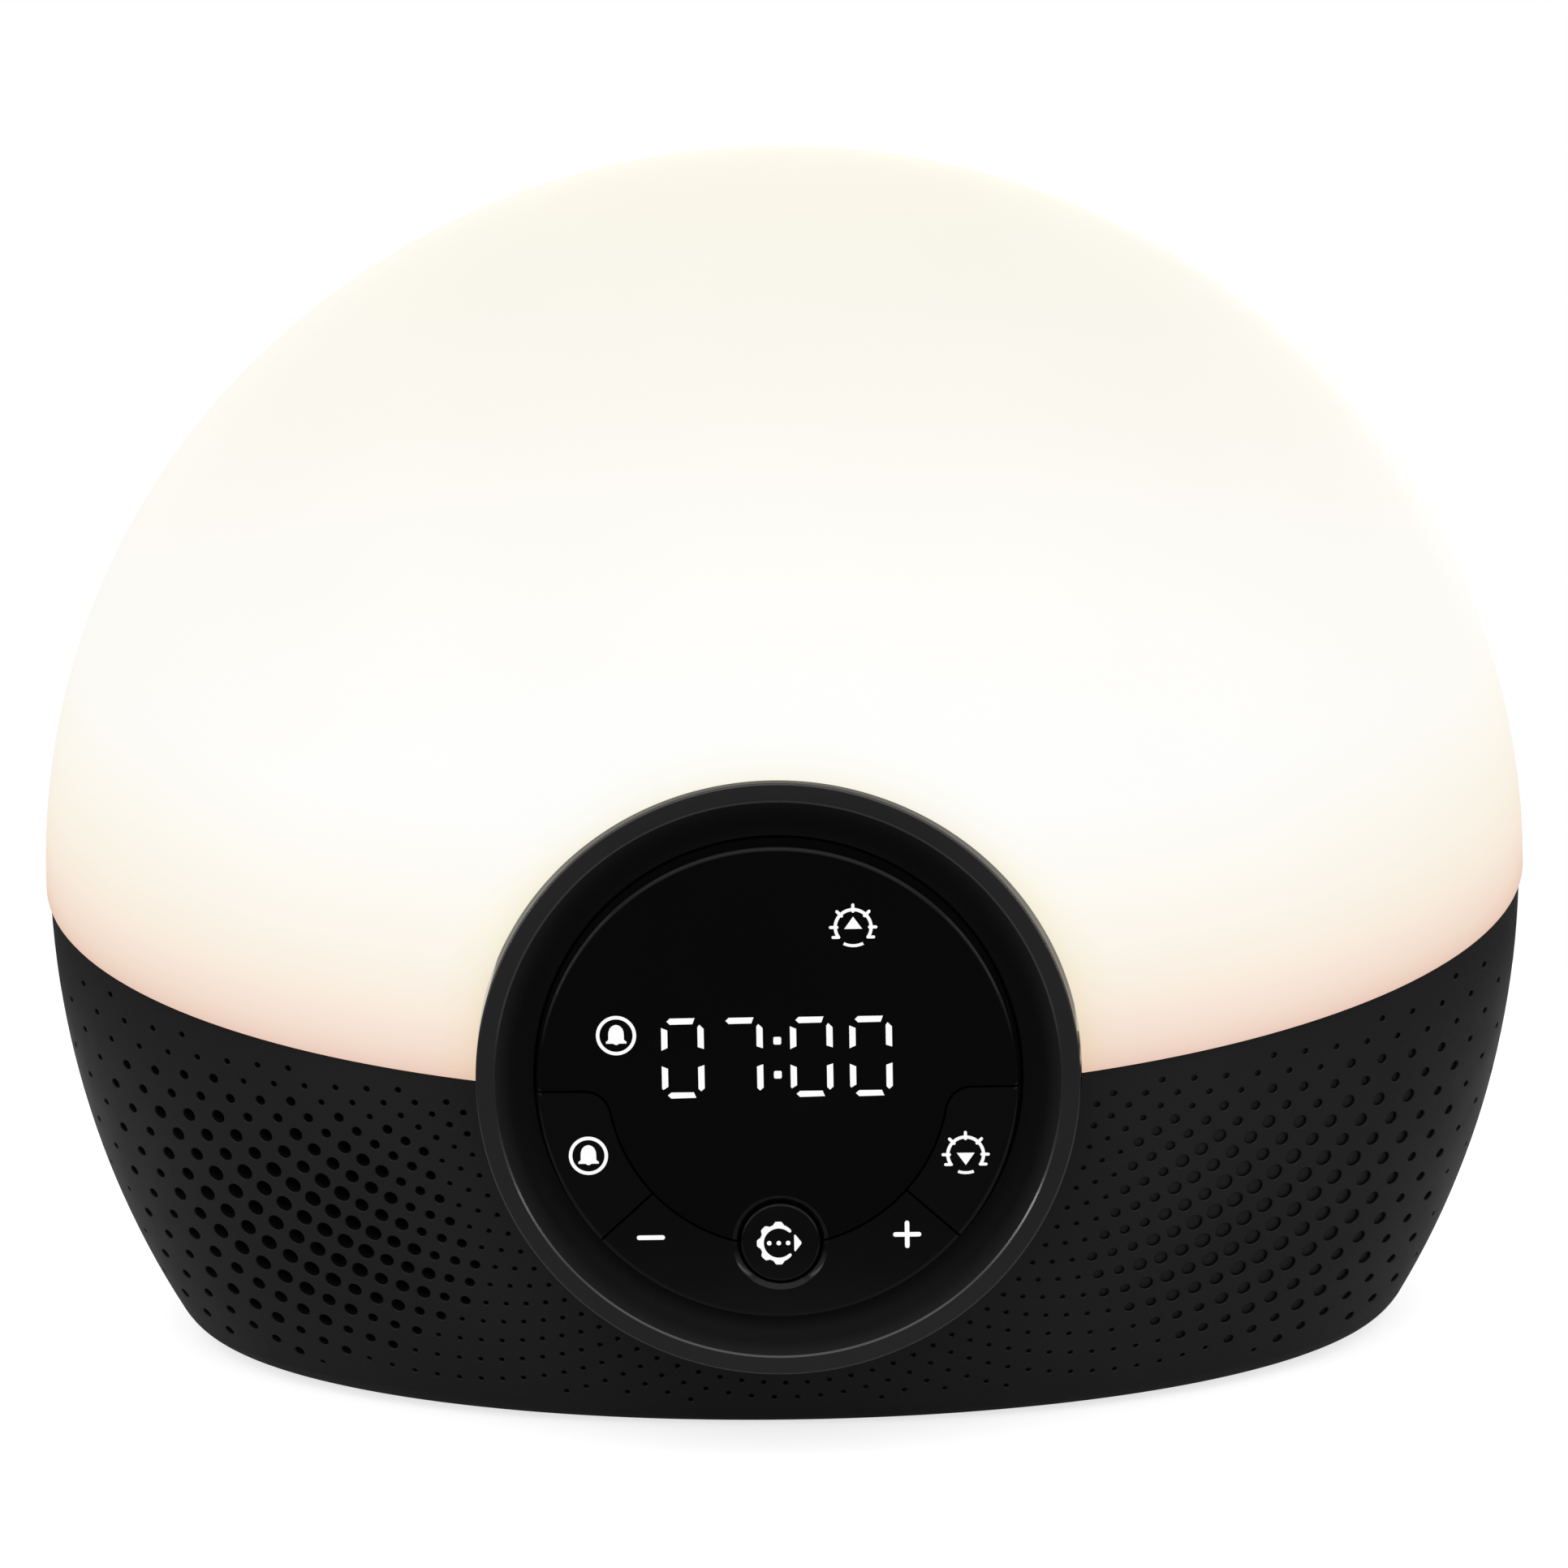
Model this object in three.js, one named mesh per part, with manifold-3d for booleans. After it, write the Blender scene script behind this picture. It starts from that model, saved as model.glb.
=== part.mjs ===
// A sunrise alarm clock: a glowing dome on a dark perforated base, and a round dial at the front
// that holds the display window and the keys. Millimetres, +Z up, the dial faces -Y.
import * as THREE from "three";
import { mergeVertices } from "three/addons/utils/BufferGeometryUtils.js";
import Module from "manifold-3d";

const wasm = await Module();
wasm.setup();

const degree = Math.PI / 180;
const quarterTurn = Math.PI / 2;
const halfTurn = Math.PI;

// Body: two half ellipsoids that share the widest level, with a flat underside.
const halfWidth = 100;
const halfDepth = 58;
const crownHeight = 98.7;
const bellyHeight = 111;
const widestLevel = 63.4;
const bottomLevel = 0.8;
const bottomEdge = 3.5;

// The dome meets the base on a plane that is lower at the front.
const splitLevel = 64;
const splitTilt = 14.57 * degree;
const baseWall = 2.4;
const domeOverhang = 0.5;
const domeWall = baseWall + domeOverhang;

// Clearance between neighbours, how far a cut runs past its piece, and the weld of shared points.
const gap = 0.3;
const overrun = 5;
const weld = 1e-5;

// Dial: a round housing that leans back a little.
const dialRadius = 38.84;
const dialLevel = 51.9;
const dialReach = 59.5;
const dialTilt = 4.9 * degree;
const rimWidth = 2.44;
const rimChamfer = 0.3;
const housingWall = 1.6;
const housingDepth = 22;
const dishDepth = 3;
const dishFloor = 1.6;
const ledgeDepth = 6.7;

// Plateau: the window and the keys together stand up out of the dish.
const plateauRadius = 30.9;
const plateauDraft = 0.5;
const plateauRise = 1.4;
const plateauEdge = 0.6;
const keyLift = 0.45;
const seamDrop = 1.2;
const innerRadius = 21.9;
const cornerRadius = 3.4;
const dividerDrop = 42 * degree;

// Keys.
const keyTravel = 0.5;
const keyBack = ledgeDepth - keyTravel;
const flangeThickness = 0.8;
const flangeReach = 1.8;
const stemRadius = 1.6;
const stemLength = 3.5;
const selectDrop = 20.95;
const selectRadius = 5.15;
const selectChamfer = 0.75;
const selectEdge = 0.5;
const sideKeyOut = 24;
const sideKeyDrop = 10;
const rockerPressOut = 16.2;
const rockerPressDrop = 20.7;
const fulcrumRadius = 1.5;
const fulcrumLength = 4;
const fulcrumDrop = 29;

// Window shell and the display behind it.
const windowWall = 1.6;
const displayWidth = 36;
const displayHeight = 15;
const displayCentre = 2.9;

// Key frame, main board and the switches between them.
const framePlate = 2;
const frameTop = ledgeDepth + gap;
const stemClearance = 0.5;
const postRadius = 3;
const switchSide = 6;
const switchHeight = 3.3;
const plungerRadius = 1.5;
const plungerLength = 2;
const plungerClearance = 0.4;
const plungerSpare = 0.1;
const boardThickness = 1.6;
const boardRadius = 34;
const coverPlate = 1.6;
const leadSlotWidth = 30;
const leadSlotHeight = 6;
const leadSlotDrop = 15;

// Small screws of the dial and the speaker.
const smallShank = 0.8;
const smallHead = 1.6;
const smallHeadHeight = 1.2;
const frameScrewOut = 35.2;
const frameScrewLength = 4.6;
const boardPostOut = 27;
const boardScrewLength = 5;
const slotWidth = 0.5;
const slotDepth = 0.5;
const slotSpanShare = 1.2;

// Bottom cover, its screws and the feet.
const coverHalfWidth = 72;
const coverHalfDepth = 40;
const coverThickness = 2.5;
const coverLedge = 6;
const floorThickness = 5;
const bossRadius = 4;
const bossHeight = 4;
const bossTurn = 35 * degree;
const coverShank = 1.2;
const coverHead = 2.3;
const coverHeadHeight = 1.1;
const coverScrewLength = 6;
const footRadius = 6;
const footSink = 0.7;
const footOutX = 44;
const footOutY = 20;
const footDomed = 0.4;

// Light: tray, heat spreader, board and emitters, all parallel to the split plane.
const trayFloor = 1.6;
const trayDepth = 4.6;
const trayRim = 1.6;
const trayRise = 3;
const lightWidth = 84;
const lightDepth = 40;
const lightSetBack = 4;
const spreaderThickness = 1.5;
const lightBoardThickness = 1.6;
const emitterSide = 5;
const emitterHeight = 1.2;
const emitterColumns = 3;
const emitterRows = 2;
const emitterPitchX = 24;
const emitterPitchY = 18;
const lightScrewInset = 4;
const lightScrewShank = 1.2;
const lightScrewHead = 2.6;
const lightScrewHeadHeight = 1.4;
const lightScrewLength = 7;
const trayBossRadius = 3.2;
const trayBossHeight = 4.4;
const leadHoleRadius = 2.5;
const leadHoleX = 14;
const leadHoleAhead = 5.5;

// Speaker behind the left of the base.
const speakerRadius = 16.5;
const speakerSpare = 1.4;
const speakerFlange = 1.5;
const speakerRing = 1.6;
const basketDepth = 7.5;
const basketBackRadius = 10.5;
const basketWall = 1;
const voiceCoilRadius = 4.5;
const coneThickness = 0.7;
const magnetRadius = 10;
const magnetHeight = 5.7;
const earOut = 19;
const earRadius = 3;
const speakerScrewLength = 4.8;
const speakerPilotDepth = 3.4;
const gasketWidth = 1.8;

// Sound holes: rings of staggered dots about the dial, largest at the middle of the speaker.
const patternDrop = 1.13;
const patternClear = 2.43;
const ringPitch = 2.1;
const ringTallShare = 1.03;
const dotStep = 2 * degree;
const middleRing = 13;
const middleColumn = 35.5;
const columnLean = 0.24;
const ringReachShare = 1.32;
const fieldPower = 4.5;
const holeClasses = [
  { reach: 3.8, radius: 1.08 },
  { reach: 6, radius: 0.88 },
];

// Power inlet at the back.
const jackLevel = 18;
const jackSeat = 49.5;
const jackPadRadius = 10;
const jackPadThickness = 3;
const jackRecessRadius = 8;
const jackBarrel = 4.5;
const jackFlange = 6.5;
const jackFlangeThickness = 1.5;
const jackLength = 13.5;
const jackBore = 2.9;
const jackBoreDepth = 9;
const jackPin = 1;
const jackPinSink = 0.8;
const jackNutRadius = 7;
const jackNutThickness = 2.6;

// Internal leads.
const leadRadius = 0.9;
const leadSpread = 10;
const leadBend = 5;

// Facets.
const bodySides = 52;
const crownRings = 10;
const bellyRings = 6;
const edgeSteps = 3;
const dialSides = 48;
const arcSteps = 4;
const keyCurveSteps = 8;
const roundSides = 18;
const smallSides = 10;
const holeSides = 6;
const nutSides = 6;
const leadSides = 6;
const leadSteps = 18;

// Solids from geometries, and geometries from solids.
function solidFrom(geometry, matrix) {
  const shape = geometry.clone();
  shape.deleteAttribute("normal");
  shape.deleteAttribute("uv");
  if (matrix) shape.applyMatrix4(matrix);
  const merged = mergeVertices(shape, weld);
  const index = merged.index.array;
  const corners = [];
  for (let i = 0; i < index.length; i += 3) {
    const [a, b, c] = [index[i], index[i + 1], index[i + 2]];
    if (a !== b && b !== c && c !== a) corners.push(a, b, c);
  }
  return new wasm.Manifold(new wasm.Mesh({
    numProp: 3,
    vertProperties: new Float32Array(merged.attributes.position.array),
    triVerts: new Uint32Array(corners),
  }));
}

function geometryFrom(solid) {
  const mesh = solid.getMesh();
  const geometry = new THREE.BufferGeometry();
  geometry.setAttribute("position", new THREE.BufferAttribute(mesh.vertProperties, 3));
  geometry.setIndex(new THREE.BufferAttribute(mesh.triVerts, 1));
  geometry.computeVertexNormals();
  return geometry;
}

function shifted(x, y, z = 0) {
  return new THREE.Matrix4().makeTranslation(x, y, z);
}

// A turned solid about Z from (radius, height) points, which are closed here if they leave the axis.
function turned(points, sides, matrix) {
  const profile = points.map(([radius, height]) => new THREE.Vector2(radius, height));
  if (THREE.ShapeUtils.area(profile) < 0) profile.reverse();
  if (profile[0].x > 0 || profile.at(-1).x > 0) profile.push(profile[0].clone());
  const geometry = new THREE.LatheGeometry(profile, sides).rotateX(quarterTurn);
  return solidFrom(geometry, matrix);
}

function rod(radius, low, high, sides, matrix) {
  return turned([[0, low], [radius, low], [radius, high], [0, high]], sides, matrix);
}

function block(width, depth, low, high, matrix) {
  const geometry = new THREE.BoxGeometry(width, depth, high - low);
  return solidFrom(geometry.translate(0, 0, (low + high) / 2), matrix);
}

function prism(shape, low, high, curveSegments, matrix) {
  const options = { depth: high - low, bevelEnabled: false, curveSegments };
  return solidFrom(new THREE.ExtrudeGeometry(shape, options).translate(0, 0, low), matrix);
}

function ovalPlate(halfX, halfY, low, high) {
  const geometry = new THREE.CylinderGeometry(1, 1, high - low, bodySides).rotateX(quarterTurn);
  geometry.scale(halfX, halfY, 1).translate(0, 0, (low + high) / 2);
  return solidFrom(geometry);
}

// The body's form, smaller all round by inset, from a given level up.
function bodySolid(inset, bottom, rounding) {
  const belly = bellyHeight - inset;
  const crown = crownHeight - inset;
  const wide = halfWidth - inset;
  const deep = halfDepth - inset;
  const shareAt = (level) => Math.sqrt(1 - ((widestLevel - level) / belly) ** 2);
  const edge = rounding / wide;
  const points = [[0, bottom]];
  const wallStart = bottom + rounding;
  if (rounding > 0) {
    const curve = new THREE.QuadraticBezierCurve(
      new THREE.Vector2(shareAt(bottom) - edge, bottom),
      new THREE.Vector2(shareAt(bottom), bottom),
      new THREE.Vector2(shareAt(wallStart), wallStart),
    );
    points.push(...curve.getPoints(edgeSteps).slice(0, edgeSteps).map((p) => [p.x, p.y]));
  }
  const lowest = Math.asin((widestLevel - wallStart) / belly);
  for (let i = 0; i < bellyRings; i++) {
    const angle = lowest * (1 - i / bellyRings);
    points.push([Math.cos(angle), widestLevel - belly * Math.sin(angle)]);
  }
  for (let i = 0; i < crownRings; i++) {
    const angle = (i / crownRings) * quarterTurn;
    points.push([Math.cos(angle), widestLevel + crown * Math.sin(angle)]);
  }
  points.push([0, widestLevel + crown]);
  return turned(points, bodySides, new THREE.Matrix4().makeScale(wide, deep, 1));
}

// A slab parallel to the split plane, between two distances from it.
function splitSlab(low, high) {
  const span = 4 * halfWidth;
  return block(span, span, low, high, lightFrame);
}

const materials = {
  glow: () => new THREE.MeshStandardMaterial({
    color: 0xfffbf0, roughness: 0.55, metalness: 0, emissive: 0xfff0d8, emissiveIntensity: 0.6,
  }),
  darkShell: () => new THREE.MeshStandardMaterial({ color: 0x242424, roughness: 0.6, metalness: 0 }),
  darkRim: () => new THREE.MeshStandardMaterial({ color: 0x1c1c1c, roughness: 0.42, metalness: 0 }),
  blackGloss: () => new THREE.MeshStandardMaterial({ color: 0x070707, roughness: 0.12, metalness: 0 }),
  blackKey: () => new THREE.MeshStandardMaterial({ color: 0x0a0a0a, roughness: 0.3, metalness: 0 }),
  rubber: () => new THREE.MeshStandardMaterial({ color: 0x151515, roughness: 0.9, metalness: 0 }),
  whitePlastic: () => new THREE.MeshStandardMaterial({ color: 0xf2f2ee, roughness: 0.6, metalness: 0 }),
  board: () => new THREE.MeshStandardMaterial({ color: 0x1d5a36, roughness: 0.5, metalness: 0 }),
  lightBoard: () => new THREE.MeshStandardMaterial({ color: 0xe9ebea, roughness: 0.4, metalness: 0.1 }),
  aluminium: () => new THREE.MeshStandardMaterial({ color: 0xb9bcc0, roughness: 0.4, metalness: 0.9 }),
  steel: () => new THREE.MeshStandardMaterial({ color: 0x8d9196, roughness: 0.35, metalness: 0.95 }),
  emitter: () => new THREE.MeshStandardMaterial({ color: 0xf4d98a, roughness: 0.4, metalness: 0 }),
  foam: () => new THREE.MeshStandardMaterial({ color: 0x2b2b2d, roughness: 0.95, metalness: 0 }),
  paperCone: () => new THREE.MeshStandardMaterial({ color: 0x19191b, roughness: 0.8, metalness: 0 }),
  leadJacket: () => new THREE.MeshStandardMaterial({ color: 0x3a3a3c, roughness: 0.6, metalness: 0 }),
};

// Frames that pieces are placed in: the dial, the light tray and the speaker.
const clock = new THREE.Group();
const dial = new THREE.Group();
dial.position.set(0, -dialReach, dialLevel);
dial.rotation.x = quarterTurn - dialTilt;
dial.updateMatrix();
const dialFrame = dial.matrix;

const light = new THREE.Group();
light.position.set(0, 0, splitLevel);
light.rotation.x = splitTilt;
light.updateMatrix();
const lightFrame = light.matrix;

const speaker = new THREE.Group();
placeSpeaker();
const speakerFrame = speaker.matrix;

// Where a line first meets the base's wall, inset from its outer face, or null where it misses.
function wallPoint(start, along, inset) {
  const middle = new THREE.Vector3(0, 0, widestLevel);
  const shrink = new THREE.Vector3(halfWidth, halfDepth, bellyHeight).subScalar(domeOverhang + inset);
  const from = start.clone().sub(middle).divide(shrink);
  const step = along.clone().divide(shrink);
  const across = from.dot(step) / step.lengthSq();
  const inside = across ** 2 - (from.lengthSq() - 1) / step.lengthSq();
  if (inside < 0) return null;
  return start.clone().addScaledVector(along, -across - Math.sqrt(inside));
}

// Where a dot of the ring pattern meets the base's outer face, as a frame with its Z along the
// outward normal. A dot that misses the base has no frame.
function dotFrame(ring, column) {
  const radius = dialRadius + patternClear + ring * ringPitch;
  const turn = column * dotStep;
  const right = -radius * Math.sin(turn);
  const up = -patternDrop - ringTallShare * radius * Math.cos(turn);
  const start = new THREE.Vector3(right, up, 0).applyMatrix4(dialFrame);
  const place = wallPoint(start, new THREE.Vector3(0, 0, -1).transformDirection(dialFrame), 0);
  if (!place) return null;
  const shrink = new THREE.Vector3(halfWidth, halfDepth, bellyHeight).subScalar(domeOverhang);
  const out = place.clone().setZ(place.z - widestLevel).divide(shrink).divide(shrink).normalize();
  const side = new THREE.Vector3(0, 0, 1).cross(out).normalize();
  const frame = new THREE.Matrix4().makeBasis(side, new THREE.Vector3().crossVectors(out, side), out);
  return frame.setPosition(place);
}

// The speaker sits behind the middle of its sound holes.
function placeSpeaker() {
  dotFrame(middleRing, middleColumn).decompose(speaker.position, speaker.quaternion, speaker.scale);
  speaker.updateMatrix();
}

// How far the speaker's flange sits below the outer face, so that its whole edge clears the wall.
function flangeSeat() {
  const inward = new THREE.Vector3(0, 0, -1).transformDirection(speakerFrame);
  const back = speakerFrame.clone().invert();
  const ends = [0, halfTurn].map((turn) => [earOut + earRadius, turn]);
  const edge = [1, -1].map((side) => [speakerRadius, side * quarterTurn]);
  const depths = [...ends, ...edge].map(([radius, turn]) => {
    const start = new THREE.Vector3(radius * Math.cos(turn), radius * Math.sin(turn), speakerRadius);
    const hit = wallPoint(start.applyMatrix4(speakerFrame), inward, baseWall);
    return hit ? -hit.applyMatrix4(back).z : 0;
  });
  return Math.max(...depths) + speakerSpare;
}

clock.add(dial, light, speaker);

function addPiece(group, name, solid, material, x = 0, y = 0, z = 0) {
  const mesh = new THREE.Mesh(geometryFrom(solid), material());
  mesh.name = name;
  mesh.position.set(x, y, z);
  group.add(mesh);
  return mesh;
}

// A cross-slot screw whose head sits on z = 0 and whose shank points down.
function screwSolid(shank, length, head, headHeight) {
  const points = [[0, -length], [shank, -length], [shank, 0], [head, 0], [head, headHeight], [0, headHeight]];
  let screw = turned(points, smallSides);
  const span = slotSpanShare * head;
  for (const [width, depth] of [[slotWidth, span], [span, slotWidth]]) {
    screw = screw.subtract(block(width, depth, headHeight - slotDepth, headHeight + overrun));
  }
  return screw;
}

// Values that several pieces share.
const insideInset = domeWall;
const dishRadius = dialRadius - rimWidth;
const housingBore = dialRadius - housingWall;
const plateauBase = plateauRadius + plateauDraft;
const dialHole = plateauBase + gap;
const flangeRadius = plateauBase + flangeReach;
const ledgeRadius = flangeRadius + gap;
const frameBottom = frameTop + framePlate;
const stemEnd = keyBack + stemLength;
const plungerTop = stemEnd + gap;
const switchTop = plungerTop + keyTravel + plungerSpare;
const switchBottom = switchTop + switchHeight;
const boardTop = switchBottom + gap;
const boardBottom = boardTop + boardThickness;
const rearCoverTop = housingDepth - gap - coverPlate;
const coverTop = bottomLevel + coverThickness;
const ledgeLevel = coverTop + gap;
const floorTop = bottomLevel + floorThickness;
const speakerSeat = flangeSeat();
const soundAxisDepth = speakerSeat + speakerFlange;
const gasketOutside = earOut - earRadius - gap;
const gasketInside = gasketOutside - gasketWidth;
const far = 2 * dialRadius;

const dialCutter = rod(dialRadius + gap, -(housingDepth + gap), far, dialSides, dialFrame);

// Dome.
function domeDiffuser() {
  const outside = bodySolid(0, bottomLevel, 0);
  const inside = bodySolid(domeWall, bottomLevel - overrun, 0);
  const above = splitSlab(gap / 2, 2 * crownHeight);
  return outside.subtract(inside).intersect(above).subtract(dialCutter);
}

addPiece(clock, "dome_diffuser", domeDiffuser(), materials.glow);

// Base shell with its floor rim, screw bosses, inlet pad, speaker bosses and sound holes.
const bossPlaces = [[1, 1], [-1, 1], [1, -1], [-1, -1]].map(([sideX, sideY]) => [
  sideX * (coverHalfWidth - coverLedge / 2) * Math.cos(bossTurn),
  sideY * (coverHalfDepth - coverLedge / 2) * Math.sin(bossTurn),
]);
const inletFrame = new THREE.Matrix4().makeRotationX(-quarterTurn).setPosition(0, 0, jackLevel);

// How far a dot is from the middle of the sound holes, counted in columns.
function dotReach(ring, column) {
  const aside = Math.abs(column - middleColumn - columnLean * (ring - middleRing));
  const along = Math.abs(ring - middleRing) / ringReachShare;
  return (aside ** fieldPower + along ** fieldPower) ** (1 / fieldPower);
}

// The sound holes that open inside the speaker's gasket.
function soundHoles() {
  const middle = speaker.position;
  const widest = holeClasses.at(-1).reach;
  const rings = Math.ceil(ringReachShare * widest);
  const columns = Math.ceil(widest + columnLean * rings);
  const holes = [];
  for (let ring = middleRing - rings; ring <= middleRing + rings; ring++) {
    const first = Math.round(middleColumn) - columns;
    for (let column = first + ((first + ring) % 2); column <= middleColumn + columns; column += 2) {
      const hole = holeClasses.find(({ reach }) => dotReach(ring, column) < reach);
      const frame = hole && dotFrame(ring, column);
      if (!frame) continue;
      const apart = new THREE.Vector3().setFromMatrixPosition(frame).distanceTo(middle);
      if (apart + hole.radius + gap > gasketInside) continue;
      holes.push(rod(hole.radius, -(baseWall + overrun / 2), overrun, holeSides, frame));
    }
  }
  return holes;
}

function baseShell() {
  const outside = bodySolid(domeOverhang, bottomLevel, bottomEdge);
  const inside = bodySolid(domeOverhang + baseWall, floorTop, 0);
  const below = splitSlab(-2 * bellyHeight, -gap / 2);
  const core = bodySolid(domeOverhang + baseWall / 2, bottomLevel, 0);
  let shell = outside.subtract(inside);
  for (const [x, y] of bossPlaces) {
    const boss = rod(bossRadius, coverTop + gap, floorTop + bossHeight, roundSides, shifted(x, y));
    shell = shell.add(boss);
  }
  const padTop = jackSeat + overrun;
  const pad = rod(jackPadRadius, jackSeat - jackPadThickness, padTop, roundSides, inletFrame);
  shell = shell.add(pad.intersect(core));
  for (const side of [-1, 1]) {
    const frame = speakerFrame.clone().multiply(shifted(side * earOut, 0));
    const boss = rod(earRadius, -(speakerSeat - gap), overrun, roundSides, frame);
    shell = shell.add(boss.intersect(core));
  }
  shell = shell.intersect(below).subtract(dialCutter);
  return cutBaseShell(shell);
}

function cutBaseShell(shell) {
  const openingX = coverHalfWidth - coverLedge;
  const openingY = coverHalfDepth - coverLedge;
  let cut = shell
    .subtract(ovalPlate(coverHalfWidth + gap, coverHalfDepth + gap, -overrun, ledgeLevel))
    .subtract(openingAround(openingX, openingY));
  for (const [x, y] of bossPlaces) {
    const top = coverTop + coverScrewLength - coverThickness + coverHeadHeight + 2 * gap;
    cut = cut.subtract(rod(coverShank + gap, 0, top, smallSides, shifted(x, y)));
  }
  const through = jackSeat - jackPadThickness - overrun;
  cut = cut.subtract(rod(jackRecessRadius, jackSeat, halfDepth, roundSides, inletFrame));
  cut = cut.subtract(rod(jackBarrel + gap, through, halfDepth, roundSides, inletFrame));
  for (const side of [-1, 1]) {
    const frame = speakerFrame.clone().multiply(shifted(side * earOut, 0));
    const deepest = speakerSeat - gap - speakerPilotDepth;
    cut = cut.subtract(rod(smallShank + gap, -soundAxisDepth, -deepest, smallSides, frame));
  }
  for (const hole of soundHoles()) cut = cut.subtract(hole);
  return cut;
}

// The opening in the floor goes round the screw bosses.
function openingAround(openingX, openingY) {
  let opening = ovalPlate(openingX, openingY, -overrun, floorTop + overrun);
  for (const [x, y] of bossPlaces) {
    opening = opening.subtract(rod(bossRadius, ledgeLevel, floorTop + bossHeight, roundSides, shifted(x, y)));
  }
  return opening;
}

addPiece(clock, "base_shell", baseShell(), materials.darkShell);

// Bottom cover, screws and feet.
const footPlaces = [[1, 1], [-1, 1], [1, -1], [-1, -1]].map(([sideX, sideY]) => [
  sideX * footOutX,
  sideY * footOutY,
]);
const headSeat = bottomLevel + coverHeadHeight + gap;

function baseCover() {
  let cover = ovalPlate(coverHalfWidth, coverHalfDepth, bottomLevel, coverTop);
  for (const [x, y] of bossPlaces) {
    cover = cover.subtract(rod(coverShank + gap, 0, coverTop + overrun, smallSides, shifted(x, y)));
    cover = cover.subtract(rod(coverHead + gap, 0, headSeat + gap, smallSides, shifted(x, y)));
  }
  for (const [x, y] of footPlaces) {
    cover = cover.subtract(rod(footRadius + gap, 0, bottomLevel + footSink, roundSides, shifted(x, y)));
  }
  return cover;
}

addPiece(clock, "base_cover", baseCover(), materials.darkShell);

const coverScrew = screwSolid(coverShank, coverScrewLength, coverHead, coverHeadHeight);
bossPlaces.forEach(([x, y], i) => {
  const mesh = addPiece(clock, `cover_screw_${i + 1}`, coverScrew, materials.steel, x, y, headSeat);
  mesh.rotation.x = halfTurn;
});

const footTop = bottomLevel + footSink - gap;
const foot = turned(
  [[0, 0], [footRadius - footDomed, 0], [footRadius, footDomed], [footRadius, footTop], [0, footTop]],
  roundSides,
);
footPlaces.forEach(([x, y], i) => addPiece(clock, `foot_${i + 1}`, foot, materials.rubber, x, y));

// Dial bezel: flat rim, hollow dish and the housing's wall behind.
const frameScrewTurns = [90, 210, 330].map((turn) => turn * degree);

function dialBezel() {
  const points = [[dialHole, -(dishDepth + dishFloor)], [dialHole, -dishDepth]];
  const start = dialHole + gap;
  const rimSlope = 2 * Math.atan(dishDepth / (dishRadius - start));
  const curve = (dishRadius - start) / Math.sin(rimSlope);
  for (let i = 0; i <= arcSteps; i++) {
    const angle = (i / arcSteps) * rimSlope;
    points.push([start + curve * Math.sin(angle), -dishDepth + curve * (1 - Math.cos(angle))]);
  }
  points.push([dialRadius - rimChamfer, 0], [dialRadius, -rimChamfer], [dialRadius, -housingDepth]);
  points.push([housingBore, -housingDepth], [housingBore, -ledgeDepth]);
  points.push([ledgeRadius, -ledgeDepth], [ledgeRadius, -(dishDepth + dishFloor)]);
  let bezel = turned(points, dialSides);
  for (const turn of frameScrewTurns) {
    const place = shifted(frameScrewOut * Math.cos(turn), frameScrewOut * Math.sin(turn));
    const depth = frameScrewLength - framePlate;
    bezel = bezel.subtract(rod(smallShank + gap, -frameTop, gap - frameTop + depth, smallSides, place));
  }
  return bezel;
}

addPiece(dial, "dial_bezel", dialBezel(), materials.darkRim);

// The plateau's turned form, which the window and the keys are cut from.
function plateauSolid() {
  const points = [[0, -keyBack - overrun], [plateauBase, -keyBack - overrun], [plateauBase, -dishDepth]];
  const edgeLow = plateauRise - plateauEdge;
  for (let i = 0; i <= arcSteps; i++) {
    const angle = (i / arcSteps) * quarterTurn;
    points.push([
      plateauRadius - plateauEdge * (1 - Math.cos(angle)),
      edgeLow + plateauEdge * Math.sin(angle),
    ]);
  }
  points.push([0, plateauRise]);
  return turned(points, dialSides);
}

// The line between window and keys, moved by offset towards the window, closed above or below.
function seamShape(offset, closedAbove) {
  const drop = seamDrop + cornerRadius;
  const centreX = Math.sqrt((innerRadius + cornerRadius) ** 2 - drop ** 2);
  const centreY = keyLift - drop;
  const corner = cornerRadius + offset;
  const line = keyLift + offset - seamDrop;
  const lean = Math.atan2(drop, centreX);
  const shape = new THREE.Shape();
  shape.moveTo(-far, line);
  shape.lineTo(-centreX, line);
  shape.absarc(-centreX, centreY, corner, quarterTurn, lean, true);
  shape.absarc(0, keyLift, innerRadius - offset, halfTurn + lean, 2 * halfTurn - lean, false);
  shape.absarc(centreX, centreY, corner, halfTurn - lean, quarterTurn, true);
  shape.lineTo(far, line);
  const end = closedAbove ? far : -far;
  shape.lineTo(far, end);
  shape.lineTo(-far, end);
  return shape;
}

// The hole for the select key, with a chamfered mouth.
function selectCutter() {
  const hole = selectRadius + gap;
  const mouth = hole + selectChamfer;
  const points = [[0, -far], [hole, -far], [hole, plateauRise - selectChamfer]];
  points.push([mouth, plateauRise], [mouth, far], [0, far]);
  return turned(points, roundSides, shifted(0, -selectDrop));
}

const plateau = plateauSolid();
const windowBack = ledgeDepth;

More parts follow.
